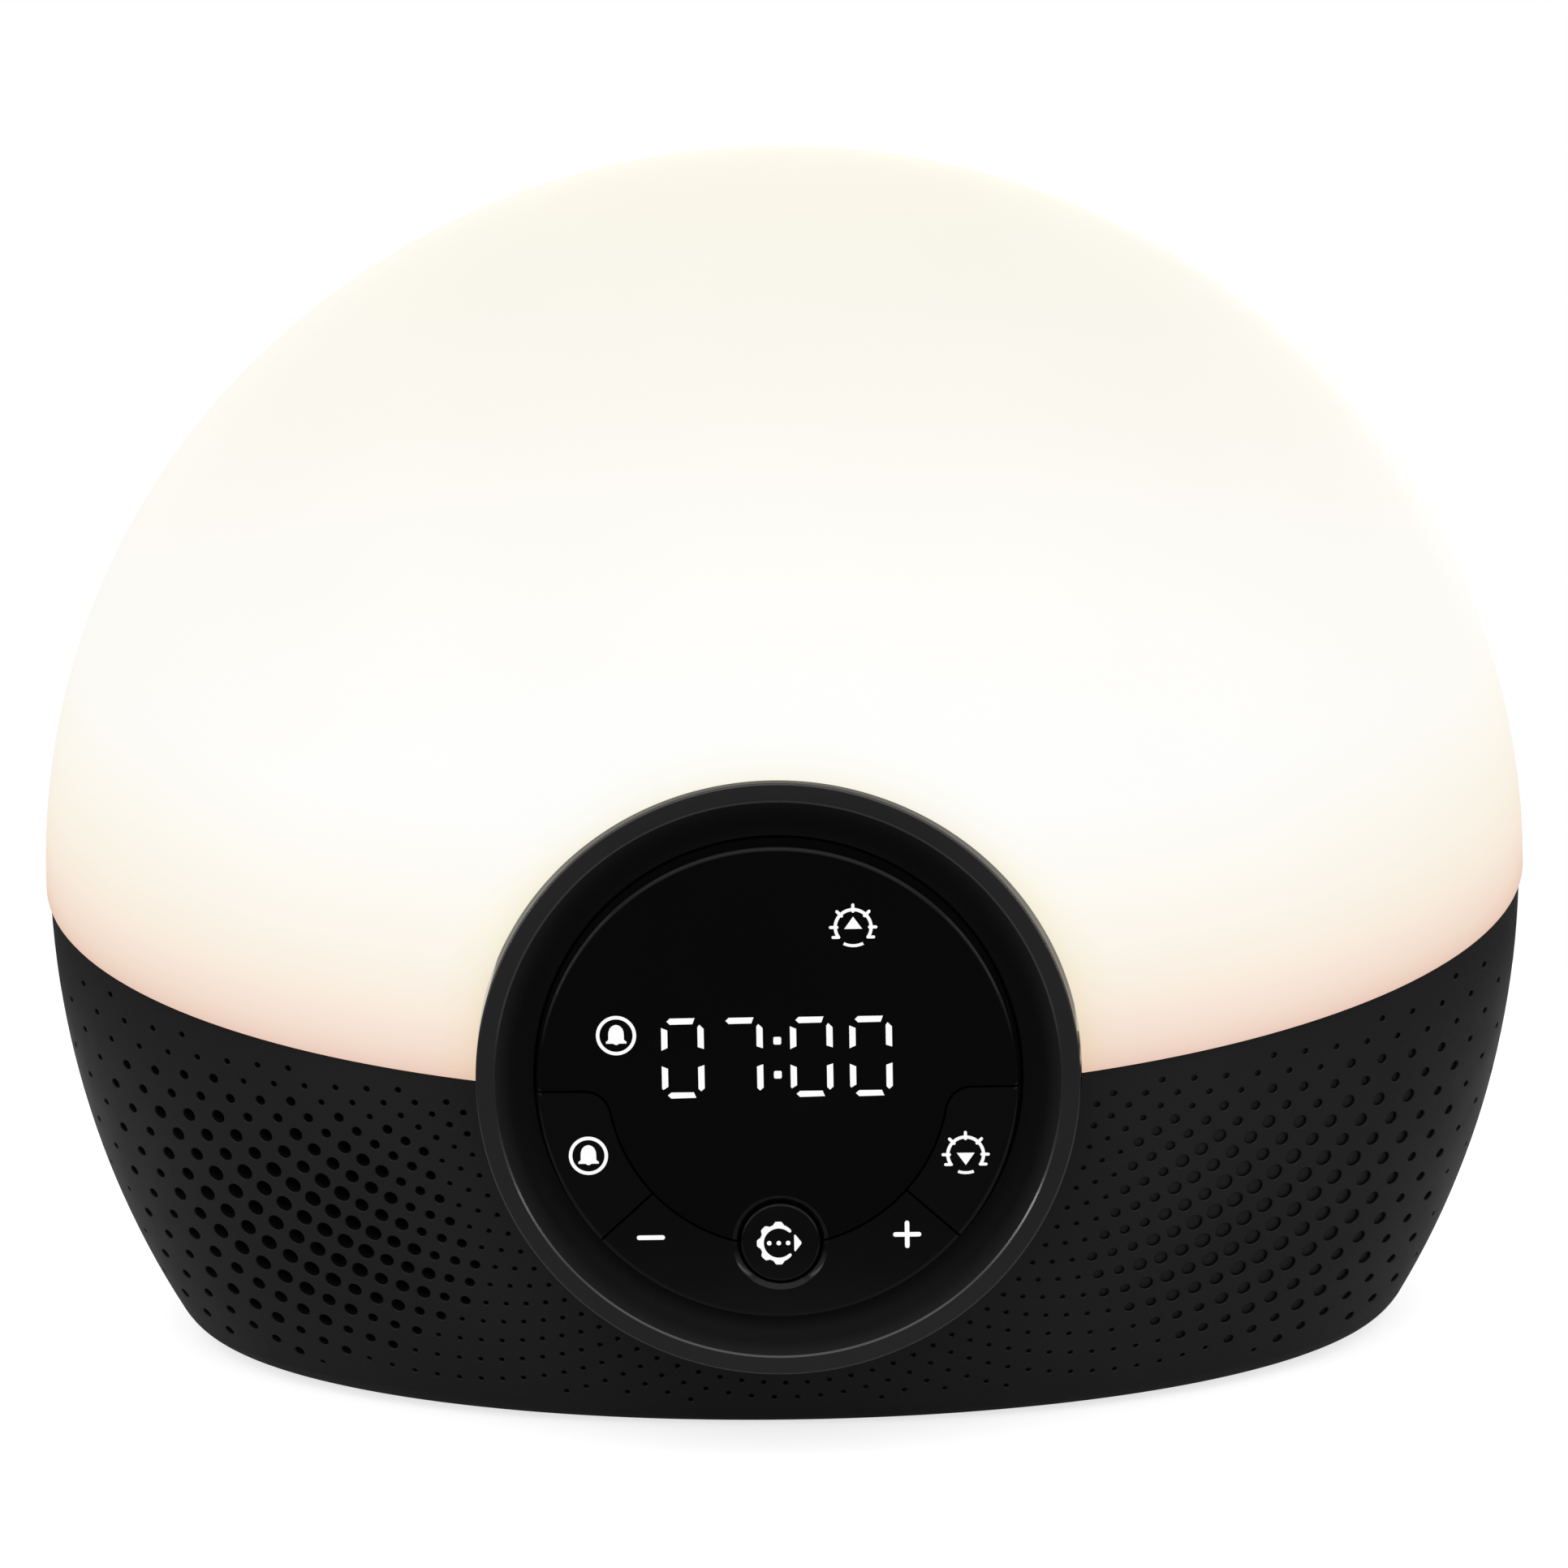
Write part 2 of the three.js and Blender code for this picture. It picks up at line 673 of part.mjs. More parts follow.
function displayWindow() {
  const outline = prism(seamShape(gap / 2, true), -windowBack, far, keyCurveSteps);
  const inner = prism(seamShape(gap / 2 + windowWall, true), -far, plateauRise - windowWall, keyCurveSteps);
  const round = rod(plateauRadius - windowWall, -far, far, dialSides);
  const collar = rod(selectRadius + gap + windowWall, -far, far, roundSides, shifted(0, -selectDrop));
  const pocket = inner.intersect(round).subtract(collar);
  return outline.intersect(plateau).subtract(pocket).subtract(selectCutter());
}

addPiece(dial, "display_window", displayWindow(), materials.blackGloss);

const displayTop = plateauRise - windowWall - gap;
addPiece(
  dial,
  "display_module",
  block(displayWidth, displayHeight, -windowBack, displayTop, shifted(0, displayCentre)),
  materials.blackKey,
);

// Keys: one solid each, cut from the plateau between the seams, with a flange that keeps it in.
function beyondDivider(side, direction) {
  const turn = side < 0 ? halfTurn + dividerDrop : -dividerDrop;
  const offset = direction * (far + gap) / 2;
  const frame = shifted(0, keyLift).multiply(new THREE.Matrix4().makeRotationZ(turn));
  return block(2 * far, far, -far, far, frame.multiply(shifted(0, offset)));
}

function stem(x, y) {
  return rod(stemRadius, -stemEnd, gap - keyBack, smallSides, shifted(x, y));
}

function keyBand() {
  const band = prism(seamShape(-gap / 2, false), -keyBack, far, keyCurveSteps);
  const flange = rod(flangeRadius, -keyBack, flangeThickness - keyBack, dialSides);
  return band.intersect(plateau.add(flange)).subtract(selectCutter());
}

const band = keyBand();

function sideKey(side) {
  const half = band.intersect(beyondDivider(side, side));
  return half.add(stem(side * sideKeyOut, -sideKeyDrop));
}

function levelRocker() {
  let rocker = band;
  for (const side of [-1, 1]) rocker = rocker.intersect(beyondDivider(side, -side));
  for (const side of [-1, 1]) rocker = rocker.add(stem(side * rockerPressOut, -rockerPressDrop));
  return rocker;
}

function selectKey() {
  const points = [[0, -keyBack], [selectRadius, -keyBack], [selectRadius, plateauRise - selectEdge]];
  points.push([selectRadius - selectEdge, plateauRise], [0, plateauRise]);
  return turned(points, roundSides, shifted(0, -selectDrop)).add(stem(0, -selectDrop));
}

addPiece(dial, "alarm_key", sideKey(-1), materials.blackKey);
addPiece(dial, "sunset_key", sideKey(1), materials.blackKey);
addPiece(dial, "level_rocker", levelRocker(), materials.blackKey);
addPiece(dial, "select_key", selectKey(), materials.blackKey);

const pressPlaces = {
  alarm: [-sideKeyOut, -sideKeyDrop],
  sunset: [sideKeyOut, -sideKeyDrop],
  select: [0, -selectDrop],
  minus: [-rockerPressOut, -rockerPressDrop],
  plus: [rockerPressOut, -rockerPressDrop],
};

// Key frame: a plate that the stems pass, with posts for the board and a fulcrum for the rocker.
const postTurns = [90, 250].map((turn) => turn * degree);
const postPlaces = postTurns.map((turn) => [boardPostOut * Math.cos(turn), boardPostOut * Math.sin(turn)]);

function keyFrame() {
  let plate = rod(housingBore - gap, -frameBottom, -frameTop, dialSides);
  for (const [x, y] of postPlaces) {
    plate = plate.add(rod(postRadius, gap - boardTop, -frameTop - framePlate / 2, smallSides, shifted(x, y)));
  }
  const axis = new THREE.Matrix4().makeRotationX(quarterTurn);
  axis.setPosition(0, fulcrumLength / 2 - fulcrumDrop, -(keyBack + gap + fulcrumRadius));
  plate = plate.add(rod(fulcrumRadius, 0, fulcrumLength, roundSides, axis));
  for (const [x, y] of Object.values(pressPlaces)) {
    plate = plate.subtract(rod(stemRadius + stemClearance, -far, far, smallSides, shifted(x, y)));
  }
  for (const [x, y] of postPlaces) {
    const depth = gap - boardTop + boardScrewLength;
    plate = plate.subtract(rod(smallShank + gap, -boardBottom, depth, smallSides, shifted(x, y)));
  }
  for (const turn of frameScrewTurns) {
    const place = shifted(frameScrewOut * Math.cos(turn), frameScrewOut * Math.sin(turn));
    plate = plate.subtract(rod(smallShank + gap, -far, far, smallSides, place));
  }
  return plate;
}

addPiece(dial, "key_frame", keyFrame(), materials.darkShell);

const frameScrew = screwSolid(smallShank, frameScrewLength, smallHead, smallHeadHeight);
frameScrewTurns.forEach((turn, i) => {
  const [x, y] = [frameScrewOut * Math.cos(turn), frameScrewOut * Math.sin(turn)];
  const mesh = addPiece(dial, `frame_screw_${i + 1}`, frameScrew, materials.steel, x, y, -frameBottom - gap);
  mesh.rotation.x = halfTurn;
});

// Switches on the main board: a housing with a round well, and the plunger that rides with its key.
function switchHousing() {
  const well = rod(plungerRadius + plungerClearance, gap - switchBottom, 0, smallSides);
  return block(switchSide, switchSide, -switchBottom, -switchTop).subtract(well);
}

const housing = switchHousing();
const plunger = rod(plungerRadius, -(plungerTop + plungerLength), -plungerTop, smallSides);
for (const [key, [x, y]] of Object.entries(pressPlaces)) {
  addPiece(dial, `${key}_switch`, housing, materials.rubber, x, y);
  addPiece(dial, `${key}_plunger`, plunger, materials.whitePlastic, x, y);
}

function mainBoard() {
  let board = rod(boardRadius, -boardBottom, -boardTop, dialSides / 2);
  for (const [x, y] of postPlaces) {
    board = board.subtract(rod(smallShank + gap, -far, far, smallSides, shifted(x, y)));
  }
  return board;
}

addPiece(dial, "main_board", mainBoard(), materials.board);

const boardScrew = screwSolid(smallShank, boardScrewLength, smallHead, smallHeadHeight);
postPlaces.forEach(([x, y], i) => {
  const mesh = addPiece(dial, `board_screw_${i + 1}`, boardScrew, materials.steel, x, y, -boardBottom - gap);
  mesh.rotation.x = halfTurn;
});

function housingCover() {
  const plate = rod(housingBore - gap, -(rearCoverTop + coverPlate), -rearCoverTop, dialSides);
  return plate.subtract(block(leadSlotWidth, leadSlotHeight, -far, far, shifted(0, -leadSlotDrop)));
}

addPiece(dial, "housing_cover", housingCover(), materials.darkShell);

// Light tray and what stands on it, in the split plane's frame.
const trayInset = insideInset + gap;
const spreaderLow = trayFloor - trayDepth + gap;
const spreaderTop = spreaderLow + spreaderThickness;
const lightBoardLow = spreaderTop + gap;
const lightBoardTop = lightBoardLow + lightBoardThickness;
const lightScrewPlaces = [-1, 1].map((side) => [side * (lightWidth / 2 - lightScrewInset), lightSetBack]);
const leadHole = [leadHoleX, lightSetBack - lightDepth / 2 - leadHoleAhead];

function reflectorTray() {
  const outside = bodySolid(trayInset, bottomLevel, 0).intersect(splitSlab(-trayDepth, trayRise));
  const inside = bodySolid(trayInset + trayRim, bottomLevel, 0);
  let tray = outside.subtract(inside.intersect(splitSlab(trayFloor - trayDepth, 2 * crownHeight)));
  for (const [x, y] of lightScrewPlaces) {
    const frame = lightFrame.clone().multiply(shifted(x, y));
    const low = -(trayDepth + trayBossHeight);
    tray = tray.add(rod(trayBossRadius, low, trayFloor / 2 - trayDepth, smallSides, frame));
    tray = tray.subtract(rod(lightScrewShank + gap, low - overrun, overrun, smallSides, frame));
  }
  const holeFrame = lightFrame.clone().multiply(shifted(...leadHole));
  tray = tray.subtract(rod(leadHoleRadius, -far, overrun, smallSides, holeFrame));
  return tray.subtract(dialCutter);
}

function lightPlate(low, high) {
  let plate = block(lightWidth, lightDepth, low, high, shifted(0, lightSetBack));
  for (const [x, y] of lightScrewPlaces) {
    plate = plate.subtract(rod(lightScrewShank + gap, low - overrun, high + overrun, smallSides, shifted(x, y)));
  }
  return plate;
}

addPiece(clock, "reflector_tray", reflectorTray(), materials.whitePlastic);
addPiece(light, "heat_spreader", lightPlate(spreaderLow, spreaderTop), materials.aluminium);
addPiece(light, "light_board", lightPlate(lightBoardLow, lightBoardTop), materials.lightBoard);

const emitter = block(emitterSide, emitterSide, lightBoardTop + gap, lightBoardTop + gap + emitterHeight);
for (let row = 0; row < emitterRows; row++) {
  for (let column = 0; column < emitterColumns; column++) {
    const x = (column - (emitterColumns - 1) / 2) * emitterPitchX;
    const y = lightSetBack + (row - (emitterRows - 1) / 2) * emitterPitchY;
    addPiece(light, `emitter_${row * emitterColumns + column + 1}`, emitter, materials.emitter, x, y);
  }
}

const lightScrew = screwSolid(lightScrewShank, lightScrewLength, lightScrewHead, lightScrewHeadHeight);
lightScrewPlaces.forEach(([x, y], i) => {
  addPiece(light, `light_screw_${i + 1}`, lightScrew, materials.steel, x, y, lightBoardTop + gap);
});

// Speaker: gasket against the shell, basket, cone, magnet and two screws.
const flangeBack = speakerSeat + speakerFlange;
const basketBack = flangeBack + basketDepth;
const magnetTop = basketBack + gap;
const magnetBack = magnetTop + magnetHeight;
const ringRadius = speakerRadius - speakerRing;

function speakerGasket() {
  const inside = bodySolid(insideInset + gap, floorTop, 0);
  const ring = turned([
    [gasketInside, -(speakerSeat - gap)],
    [gasketOutside, -(speakerSeat - gap)],
    [gasketOutside, overrun],
    [gasketInside, overrun],
  ], roundSides, speakerFrame);
  return ring.intersect(inside);
}

function speakerBasket() {
  let basket = turned([
    [ringRadius, -speakerSeat],
    [ringRadius, -flangeBack],
    [basketBackRadius - basketWall, basketWall - basketBack],
    [voiceCoilRadius, basketWall - basketBack],
    [voiceCoilRadius, -basketBack],
    [basketBackRadius, -basketBack],
    [ringRadius + basketWall, -flangeBack],
    [speakerRadius, -flangeBack],
    [speakerRadius, -speakerSeat],
  ], roundSides);
  for (const side of [-1, 1]) {
    const place = shifted(side * earOut, 0);
    const reach = block(earOut - speakerRadius + gap, 2 * earRadius, -flangeBack, -speakerSeat,
      shifted(side * (earOut + speakerRadius - gap) / 2, 0));
    basket = basket.add(rod(earRadius, -flangeBack, -speakerSeat, smallSides, place)).add(reach);
    basket = basket.subtract(rod(smallShank + gap, -far, far, smallSides, place));
  }
  return basket;
}

function speakerCone() {
  const outer = ringRadius - gap;
  const throat = voiceCoilRadius - gap;
  const bottom = basketBack - basketWall - gap;
  return turned([
    [0, -speakerSeat - basketDepth / 2],
    [throat, -speakerSeat - basketDepth / 2 - coneThickness],
    [outer - coneThickness, -speakerSeat - gap],
    [outer, -speakerSeat - gap],
    [outer, -flangeBack],
    [throat, -bottom],
    [0, -bottom],
  ], roundSides);
}

addPiece(clock, "speaker_gasket", speakerGasket(), materials.foam);
addPiece(speaker, "speaker_basket", speakerBasket(), materials.steel);
addPiece(speaker, "speaker_cone", speakerCone(), materials.paperCone);
addPiece(speaker, "speaker_magnet", rod(magnetRadius, -magnetBack, -magnetTop, roundSides), materials.steel);

const speakerScrew = screwSolid(smallShank, speakerScrewLength, smallHead, smallHeadHeight);
[-1, 1].forEach((side, i) => {
  const z = -flangeBack - gap;
  const mesh = addPiece(speaker, `speaker_screw_${i + 1}`, speakerScrew, materials.steel, side * earOut, 0, z);
  mesh.rotation.x = halfTurn;
});

// Power inlet: flanged barrel with an annular socket round a pin, and a nut inside.
function dcJack() {
  const front = jackSeat + gap + jackFlangeThickness;
  const back = front - jackLength;
  const body = turned([
    [0, back],
    [jackBarrel, back],
    [jackBarrel, jackSeat + gap],
    [jackFlange, jackSeat + gap],
    [jackFlange, front],
    [0, front],
  ], roundSides, inletFrame);
  const bore = rod(jackBore, front - jackBoreDepth, front + overrun, roundSides, inletFrame);
  const pin = rod(jackPin, front - jackBoreDepth - gap, front - jackPinSink, smallSides, inletFrame);
  return body.subtract(bore).add(pin);
}

function jackNut() {
  const top = jackSeat - jackPadThickness - gap;
  const nut = rod(jackNutRadius, top - jackNutThickness, top, nutSides, inletFrame);
  return nut.subtract(rod(jackBarrel + gap, 0, halfDepth, roundSides, inletFrame));
}

addPiece(clock, "dc_jack", dcJack(), materials.blackKey);
addPiece(clock, "jack_nut", jackNut(), materials.steel);

// Leads, each along its own route inside the housing.
function lead(points) {
  const section = new THREE.Shape().absarc(0, 0, leadRadius, 0, 2 * halfTurn, false);
  const options = {
    steps: leadSteps,
    bevelEnabled: false,
    curveSegments: leadSides / 2,
    extrudePath: new THREE.CatmullRomCurve3(points),
  };
  return solidFrom(new THREE.ExtrudeGeometry(section, options));
}

function inFrame(frame, x, y, z) {
  return new THREE.Vector3(x, y, z).applyMatrix4(frame);
}

function boardExit(x) {
  return [boardBottom + gap, housingDepth, housingDepth + 2 * leadBend].map((depth) =>
    inFrame(dialFrame, x, -leadSlotDrop, -depth));
}

function jackLead() {
  const end = jackSeat + jackFlangeThickness - jackLength;
  const route = boardExit(0);
  route.push(new THREE.Vector3(0, -leadBend, jackLevel - leadBend));
  route.push(new THREE.Vector3(0, end - 3 * leadBend, jackLevel - gap));
  route.push(new THREE.Vector3(0, end, jackLevel));
  return lead(route);
}

function lightLead() {
  const [x, y] = leadHole;
  const over = lightBoardTop + leadBend;
  const route = boardExit(leadSpread);
  route.push(inFrame(lightFrame, x, y, -2 * leadBend));
  route.push(inFrame(lightFrame, x, y, 0));
  route.push(inFrame(lightFrame, x, y + leadBend, over));
  route.push(inFrame(lightFrame, x, y + 2 * leadBend, over - leadBend / 2));
  route.push(inFrame(lightFrame, x, y + 2 * leadBend + gap, lightBoardTop + gap));
  return lead(route);
}

function speakerLead() {
  const route = boardExit(-leadSpread);
  route.push(inFrame(speakerFrame, 2 * magnetRadius, 0, -(magnetBack + 3 * leadBend)));
  route.push(inFrame(speakerFrame, 0, 0, -(magnetBack + 2 * leadBend)));
  route.push(inFrame(speakerFrame, 0, 0, -(magnetBack + gap)));
  return lead(route);
}

addPiece(clock, "jack_lead", jackLead(), materials.leadJacket);
addPiece(clock, "light_lead", lightLead(), materials.leadJacket);
addPiece(clock, "speaker_lead", speakerLead(), materials.leadJacket);

// The origin is at the middle of the footprint, on the surface that the feet stand on.
const bounds = new THREE.Box3().setFromObject(clock);
const middle = bounds.getCenter(new THREE.Vector3());
clock.position.set(-middle.x, -middle.y, -bounds.min.z);

export default clock;
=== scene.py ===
import math

import bmesh
import bpy
from mathutils import Matrix, Vector


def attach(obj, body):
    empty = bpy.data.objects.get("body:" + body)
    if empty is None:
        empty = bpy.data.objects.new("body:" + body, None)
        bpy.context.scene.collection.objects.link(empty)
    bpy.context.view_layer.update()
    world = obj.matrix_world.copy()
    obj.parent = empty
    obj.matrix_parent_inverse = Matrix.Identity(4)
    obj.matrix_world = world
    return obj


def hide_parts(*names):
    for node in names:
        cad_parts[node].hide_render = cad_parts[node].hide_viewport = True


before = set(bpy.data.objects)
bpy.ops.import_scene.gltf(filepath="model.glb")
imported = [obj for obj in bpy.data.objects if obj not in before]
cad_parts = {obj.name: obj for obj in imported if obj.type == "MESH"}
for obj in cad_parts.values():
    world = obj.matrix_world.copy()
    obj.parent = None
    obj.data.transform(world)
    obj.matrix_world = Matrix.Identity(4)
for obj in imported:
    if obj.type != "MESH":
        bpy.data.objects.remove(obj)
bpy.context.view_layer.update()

# Lengths are millimetres until a piece is put in its place, in metres.
MILLIMETRE = 0.001
CENTIMETRE = 10
METRES = Matrix.Scale(MILLIMETRE, 4)
DEPTH_SHIFT = 3.11536

# Body.
HALF_WIDTH, HALF_DEPTH = 100.0, 58.0
CROWN, BELLY, WIDEST = 98.7, 111.0, 63.4
BOTTOM, BOTTOM_EDGE = 0.8, 3.5
SPLIT_LEVEL, SPLIT_TILT = 64.0, math.radians(14.57)
BASE_WALL, DOME_OVERHANG, DOME_WALL = 2.4, 0.5, 2.9
FLOOR_TOP = 5.8
GAP = 0.3
PAST = 5.0

# Dial.
DIAL_RADIUS, DIAL_LEVEL, DIAL_REACH = 38.84, 51.9, 59.5
DIAL_TILT = math.radians(4.9)
RIM_WIDTH, RIM_CHAMFER = 2.44, 0.3
HOUSING_WALL, HOUSING_DEPTH = 1.6, 22.0
DISH_DEPTH, DISH_FLOOR, LEDGE_DEPTH = 3.0, 1.6, 6.7
PLATEAU_RADIUS, PLATEAU_DRAFT, PLATEAU_RISE, PLATEAU_EDGE = 30.9, 0.5, 1.4, 0.6
KEY_LIFT, SEAM_DROP, INNER_RADIUS, CORNER_RADIUS = 0.45, 1.2, 21.9, 3.4
DIVIDER_DROP = math.radians(42)
KEY_BACK, WINDOW_WALL = 6.2, 1.6
SELECT_DROP, SELECT_RADIUS, SELECT_CHAMFER = 20.95, 5.15, 0.75
FACE = PLATEAU_RISE

# Steps round a full turn, and how far cutting shapes reach.
ROUND, BODY_STEPS, SMALL_STEPS = 256, 192, 96
SEAM_REACH, HOLE_REACH = 20, 50
MERGE_DISTANCE = 1e-5
body_place = Matrix.Translation((0, DEPTH_SHIFT, 0))
split_place = body_place @ Matrix.Translation((0, 0, SPLIT_LEVEL)) @ Matrix.Rotation(SPLIT_TILT, 4, "X")
dial_place = (
    body_place
    @ Matrix.Translation((0, -DIAL_REACH, DIAL_LEVEL))
    @ Matrix.Rotation(math.pi / 2 - DIAL_TILT, 4, "X")
)


# Mesh work.
def outward(bm):
    bmesh.ops.remove_doubles(bm, verts=bm.verts, dist=MERGE_DISTANCE)
    bmesh.ops.recalc_face_normals(bm, faces=bm.faces)


def turned(bm, profile, steps=ROUND, place=Matrix()):
    """Turns (radius, height) points about Z. A profile that leaves the axis is closed."""
    points = list(profile)
    if points[0][0] > 0 or points[-1][0] > 0:
        points.append(points[0])
    verts = [bm.verts.new((r, 0, z)) for r, z in points]
    edges = [bm.edges.new(pair) for pair in zip(verts, verts[1:])]
    made = bmesh.ops.spin(
        bm, geom=verts + edges, cent=(0, 0, 0), axis=(0, 0, 1),
        angle=math.tau, steps=steps, use_merge=True,
    )
    fresh = {v for e in edges if e.is_valid for v in e.verts}
    for item in made["geom_last"]:
        if isinstance(item, bmesh.types.BMVert):
            fresh.add(item)
    grown = linked(fresh)
    bmesh.ops.remove_doubles(bm, verts=list(grown), dist=MERGE_DISTANCE)
    grown = linked(v for v in grown if v.is_valid)
    bmesh.ops.transform(bm, matrix=place, verts=list(grown))
    return grown


def linked(starts):
    """Every vertex that edges join to these."""
    found, queue = set(), [v for v in starts if v.is_valid]
    while queue:
        v = queue.pop()
        if v in found:
            continue
        found.add(v)
        queue.extend(e.other_vert(v) for e in v.link_edges)
    return found


def prism(bm, outline, low, high, place=Matrix()):
    """Extrudes a flat outline between two heights."""
    face = bm.faces.new([bm.verts.new((x, y, low)) for x, y in outline])
    grown = bmesh.ops.extrude_face_region(bm, geom=[face])["geom"]
    top = [v for v in grown if isinstance(v, bmesh.types.BMVert)]
    bmesh.ops.translate(bm, verts=top, vec=(0, 0, high - low))
    verts = list(face.verts) + top
    bmesh.ops.recalc_face_normals(bm, faces=list({f for v in verts for f in v.link_faces}))
    bmesh.ops.transform(bm, matrix=place, verts=verts)
    return verts


def arc(centre, radius, start, end, steps):
    angles = [start + (end - start) * i / steps for i in range(steps + 1)]
    return [(centre[0] + radius * math.cos(a), centre[1] + radius * math.sin(a)) for a in angles]


def mesh_object(name, bm, tidy=True):
    if tidy:
        outward(bm)
    mesh = bpy.data.meshes.new(name)
    bm.to_mesh(mesh)
    bm.free()
    obj = bpy.data.objects.new(name, mesh)
    bpy.context.scene.collection.objects.link(obj)
    return obj


def solid(name, *shapes):
    """One object from shapes, each a function that fills a bmesh."""
    bm = bmesh.new()
    for shape in shapes:
        shape(bm)
    return mesh_object(name, bm)


def settle(obj):
    """Makes the modifiers part of the mesh."""
    graph = bpy.context.evaluated_depsgraph_get()
    mesh = bpy.data.meshes.new_from_object(obj.evaluated_get(graph))
    obj.modifiers.clear()
    old, obj.data = obj.data, mesh
    bpy.data.meshes.remove(old)


def combine(obj, other, operation):
    """Joins to, cuts from or keeps within another shape, which is used up."""
    cut = obj.modifiers.new("cut", "BOOLEAN")
    cut.object, cut.operation, cut.solver = other, operation, "MANIFOLD"
    settle(obj)
    mesh = other.data
    bpy.data.objects.remove(other)
    bpy.data.meshes.remove(mesh)
    return obj


EDGE_STEPS, EDGE_ANGLE, SMOOTH_ANGLE = 2, math.radians(35), math.radians(25)
FRONT_SLACK = 5e-3


def soften(obj, width):
    edge = obj.modifiers.new("edge", "BEVEL")
    edge.width, edge.segments, edge.limit_method = width, EDGE_STEPS, "ANGLE"
    edge.angle_limit = EDGE_ANGLE
    edge.use_clamp_overlap = True
    settle(obj)


def shade(obj):
    obj.data.shade_smooth()
    obj.data.set_sharp_from_angle(angle=SMOOTH_ANGLE)


def flatten_face(obj):
    """Joins the flat front into one face and parts it from its edge, so that cuts don't disturb it."""
    bm = bmesh.new()
    bm.from_mesh(obj.data)
    front = [f for f in bm.faces if all(abs(v.co.z - FACE) < FRONT_SLACK for v in f.verts)]
    for face in bmesh.ops.dissolve_faces(bm, faces=front)["region"]:
        for edge in face.edges:
            edge.smooth = False
    bm.to_mesh(obj.data)
    bm.free()


def finish_piece(obj, place, material, body, slot, *nodes):
    """Puts a piece in its place, on its body and instead of its CAD nodes."""
    obj.data.transform(METRES @ place)
    obj.data.materials.clear()
    obj.data.materials.append(material)
    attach(obj, body)
    if nodes:
        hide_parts(*nodes)
    return obj


# Materials. Noise scales are counts to the metre.
PATCHES, GLOSS_PATCHES, FINE_GRAIN = 35.0, 120.0, 3600.0
NOISE_LOW, NOISE_HIGH = 0.25, 0.75
RAMP_START, RAMP_END = 0.3, 0.7


def new_material(name):
    material = bpy.data.materials.new(name)
    material.use_nodes = True
    nodes = material.node_tree.nodes
    return material, nodes, material.node_tree.links, nodes["Principled BSDF"]


def noise(nodes, links, scale, detail=3.0):
    where = nodes.new("ShaderNodeTexCoord")
    texture = nodes.new("ShaderNodeTexNoise")
    texture.inputs["Scale"].default_value = scale
    texture.inputs["Detail"].default_value = detail
    texture.inputs["Roughness"].default_value = 0.5
    links.new(where.outputs["Object"], texture.inputs["Vector"])
    return texture.outputs["Fac"]


def ramp(nodes, links, source, low, high):
    mix = nodes.new("ShaderNodeValToRGB")
    mix.color_ramp.elements[0].position, mix.color_ramp.elements[0].color = RAMP_START, low
    mix.color_ramp.elements[1].position, mix.color_ramp.elements[1].color = RAMP_END, high
    links.new(source, mix.inputs["Fac"])
    return mix.outputs["Color"]


def grey(value):
    return (value, value, value, 1.0)


def spread(nodes, links, source, low, high):
    scale = nodes.new("ShaderNodeMapRange")
    scale.inputs["From Min"].default_value, scale.inputs["From Max"].default_value = NOISE_LOW, NOISE_HIGH
    scale.inputs["To Min"].default_value, scale.inputs["To Max"].default_value = low, high
    links.new(source, scale.inputs["Value"])
    return scale.outputs["Result"]


def bumped(nodes, links, shader, source, height):
    bump = nodes.new("ShaderNodeBump")
    bump.inputs["Distance"].default_value = height
    bump.inputs["Strength"].default_value = 1.0
    links.new(source, bump.inputs["Height"])
    links.new(bump.outputs["Normal"], shader.inputs["Normal"])


def moulded(name, low, high, rough, grain_scale, grain_height, metal=0.0, specular=0.5):
    """Moulded, cast or rolled stock: two close colours, uneven gloss and a fine grain."""
    material, nodes, links, shader = new_material(name)
    shader.inputs["Metallic"].default_value = metal
    shader.inputs["Specular IOR Level"].default_value = specular
    patches = noise(nodes, links, PATCHES)
    links.new(ramp(nodes, links, patches, low, high), shader.inputs["Base Color"])
    links.new(spread(nodes, links, noise(nodes, links, GLOSS_PATCHES), *rough), shader.inputs["Roughness"])
    bumped(nodes, links, shader, noise(nodes, links, grain_scale, 2.0), grain_height)
    return material


charcoal = moulded("charcoal_moulding", grey(0.0108), grey(0.0134), (0.42, 0.5),
                   FINE_GRAIN, 0.00003, 0.0, 0.12)
# A darker black as painted shade, for the insides of the holes and the walls of the dimples.
dot_painted_shade = moulded("dot_painted_shade", grey(0.003), grey(0.004), (0.6, 0.7), FINE_GRAIN, 0.00001, 0.0, 0.08)
rim_black = moulded("rim_black", grey(0.0155), grey(0.018), (0.24, 0.3), FINE_GRAIN, 0.000004, 0.0, 0.1)
polished_edge = moulded("polished_edge", grey(0.014), grey(0.016), (0.14, 0.17), FINE_GRAIN, 0.000001)
key_black = moulded("key_black", grey(0.0022), grey(0.0027), (0.14, 0.18), 900.0, 0.000002, 0.0, 0.15)
window_black = moulded("window_black", grey(0.0015), grey(0.0019), (0.05, 0.07), 300.0, 0.000001, 0.0, 0.15)
reflector_white = moulded("reflector_white", grey(0.78), grey(0.84), (0.5, 0.6), 1500.0, 0.00001)
board_green = moulded("board_green", (0.01, 0.09, 0.035, 1), (0.02, 0.15, 0.06, 1), (0.3, 0.45),
                      700.0, 0.00002)
board_white = moulded("board_white", grey(0.72), grey(0.8), (0.35, 0.45), 700.0, 0.00001)
aluminium = moulded("aluminium_plate", grey(0.62), grey(0.7), (0.3, 0.42), 1200.0, 0.00001, 1.0)
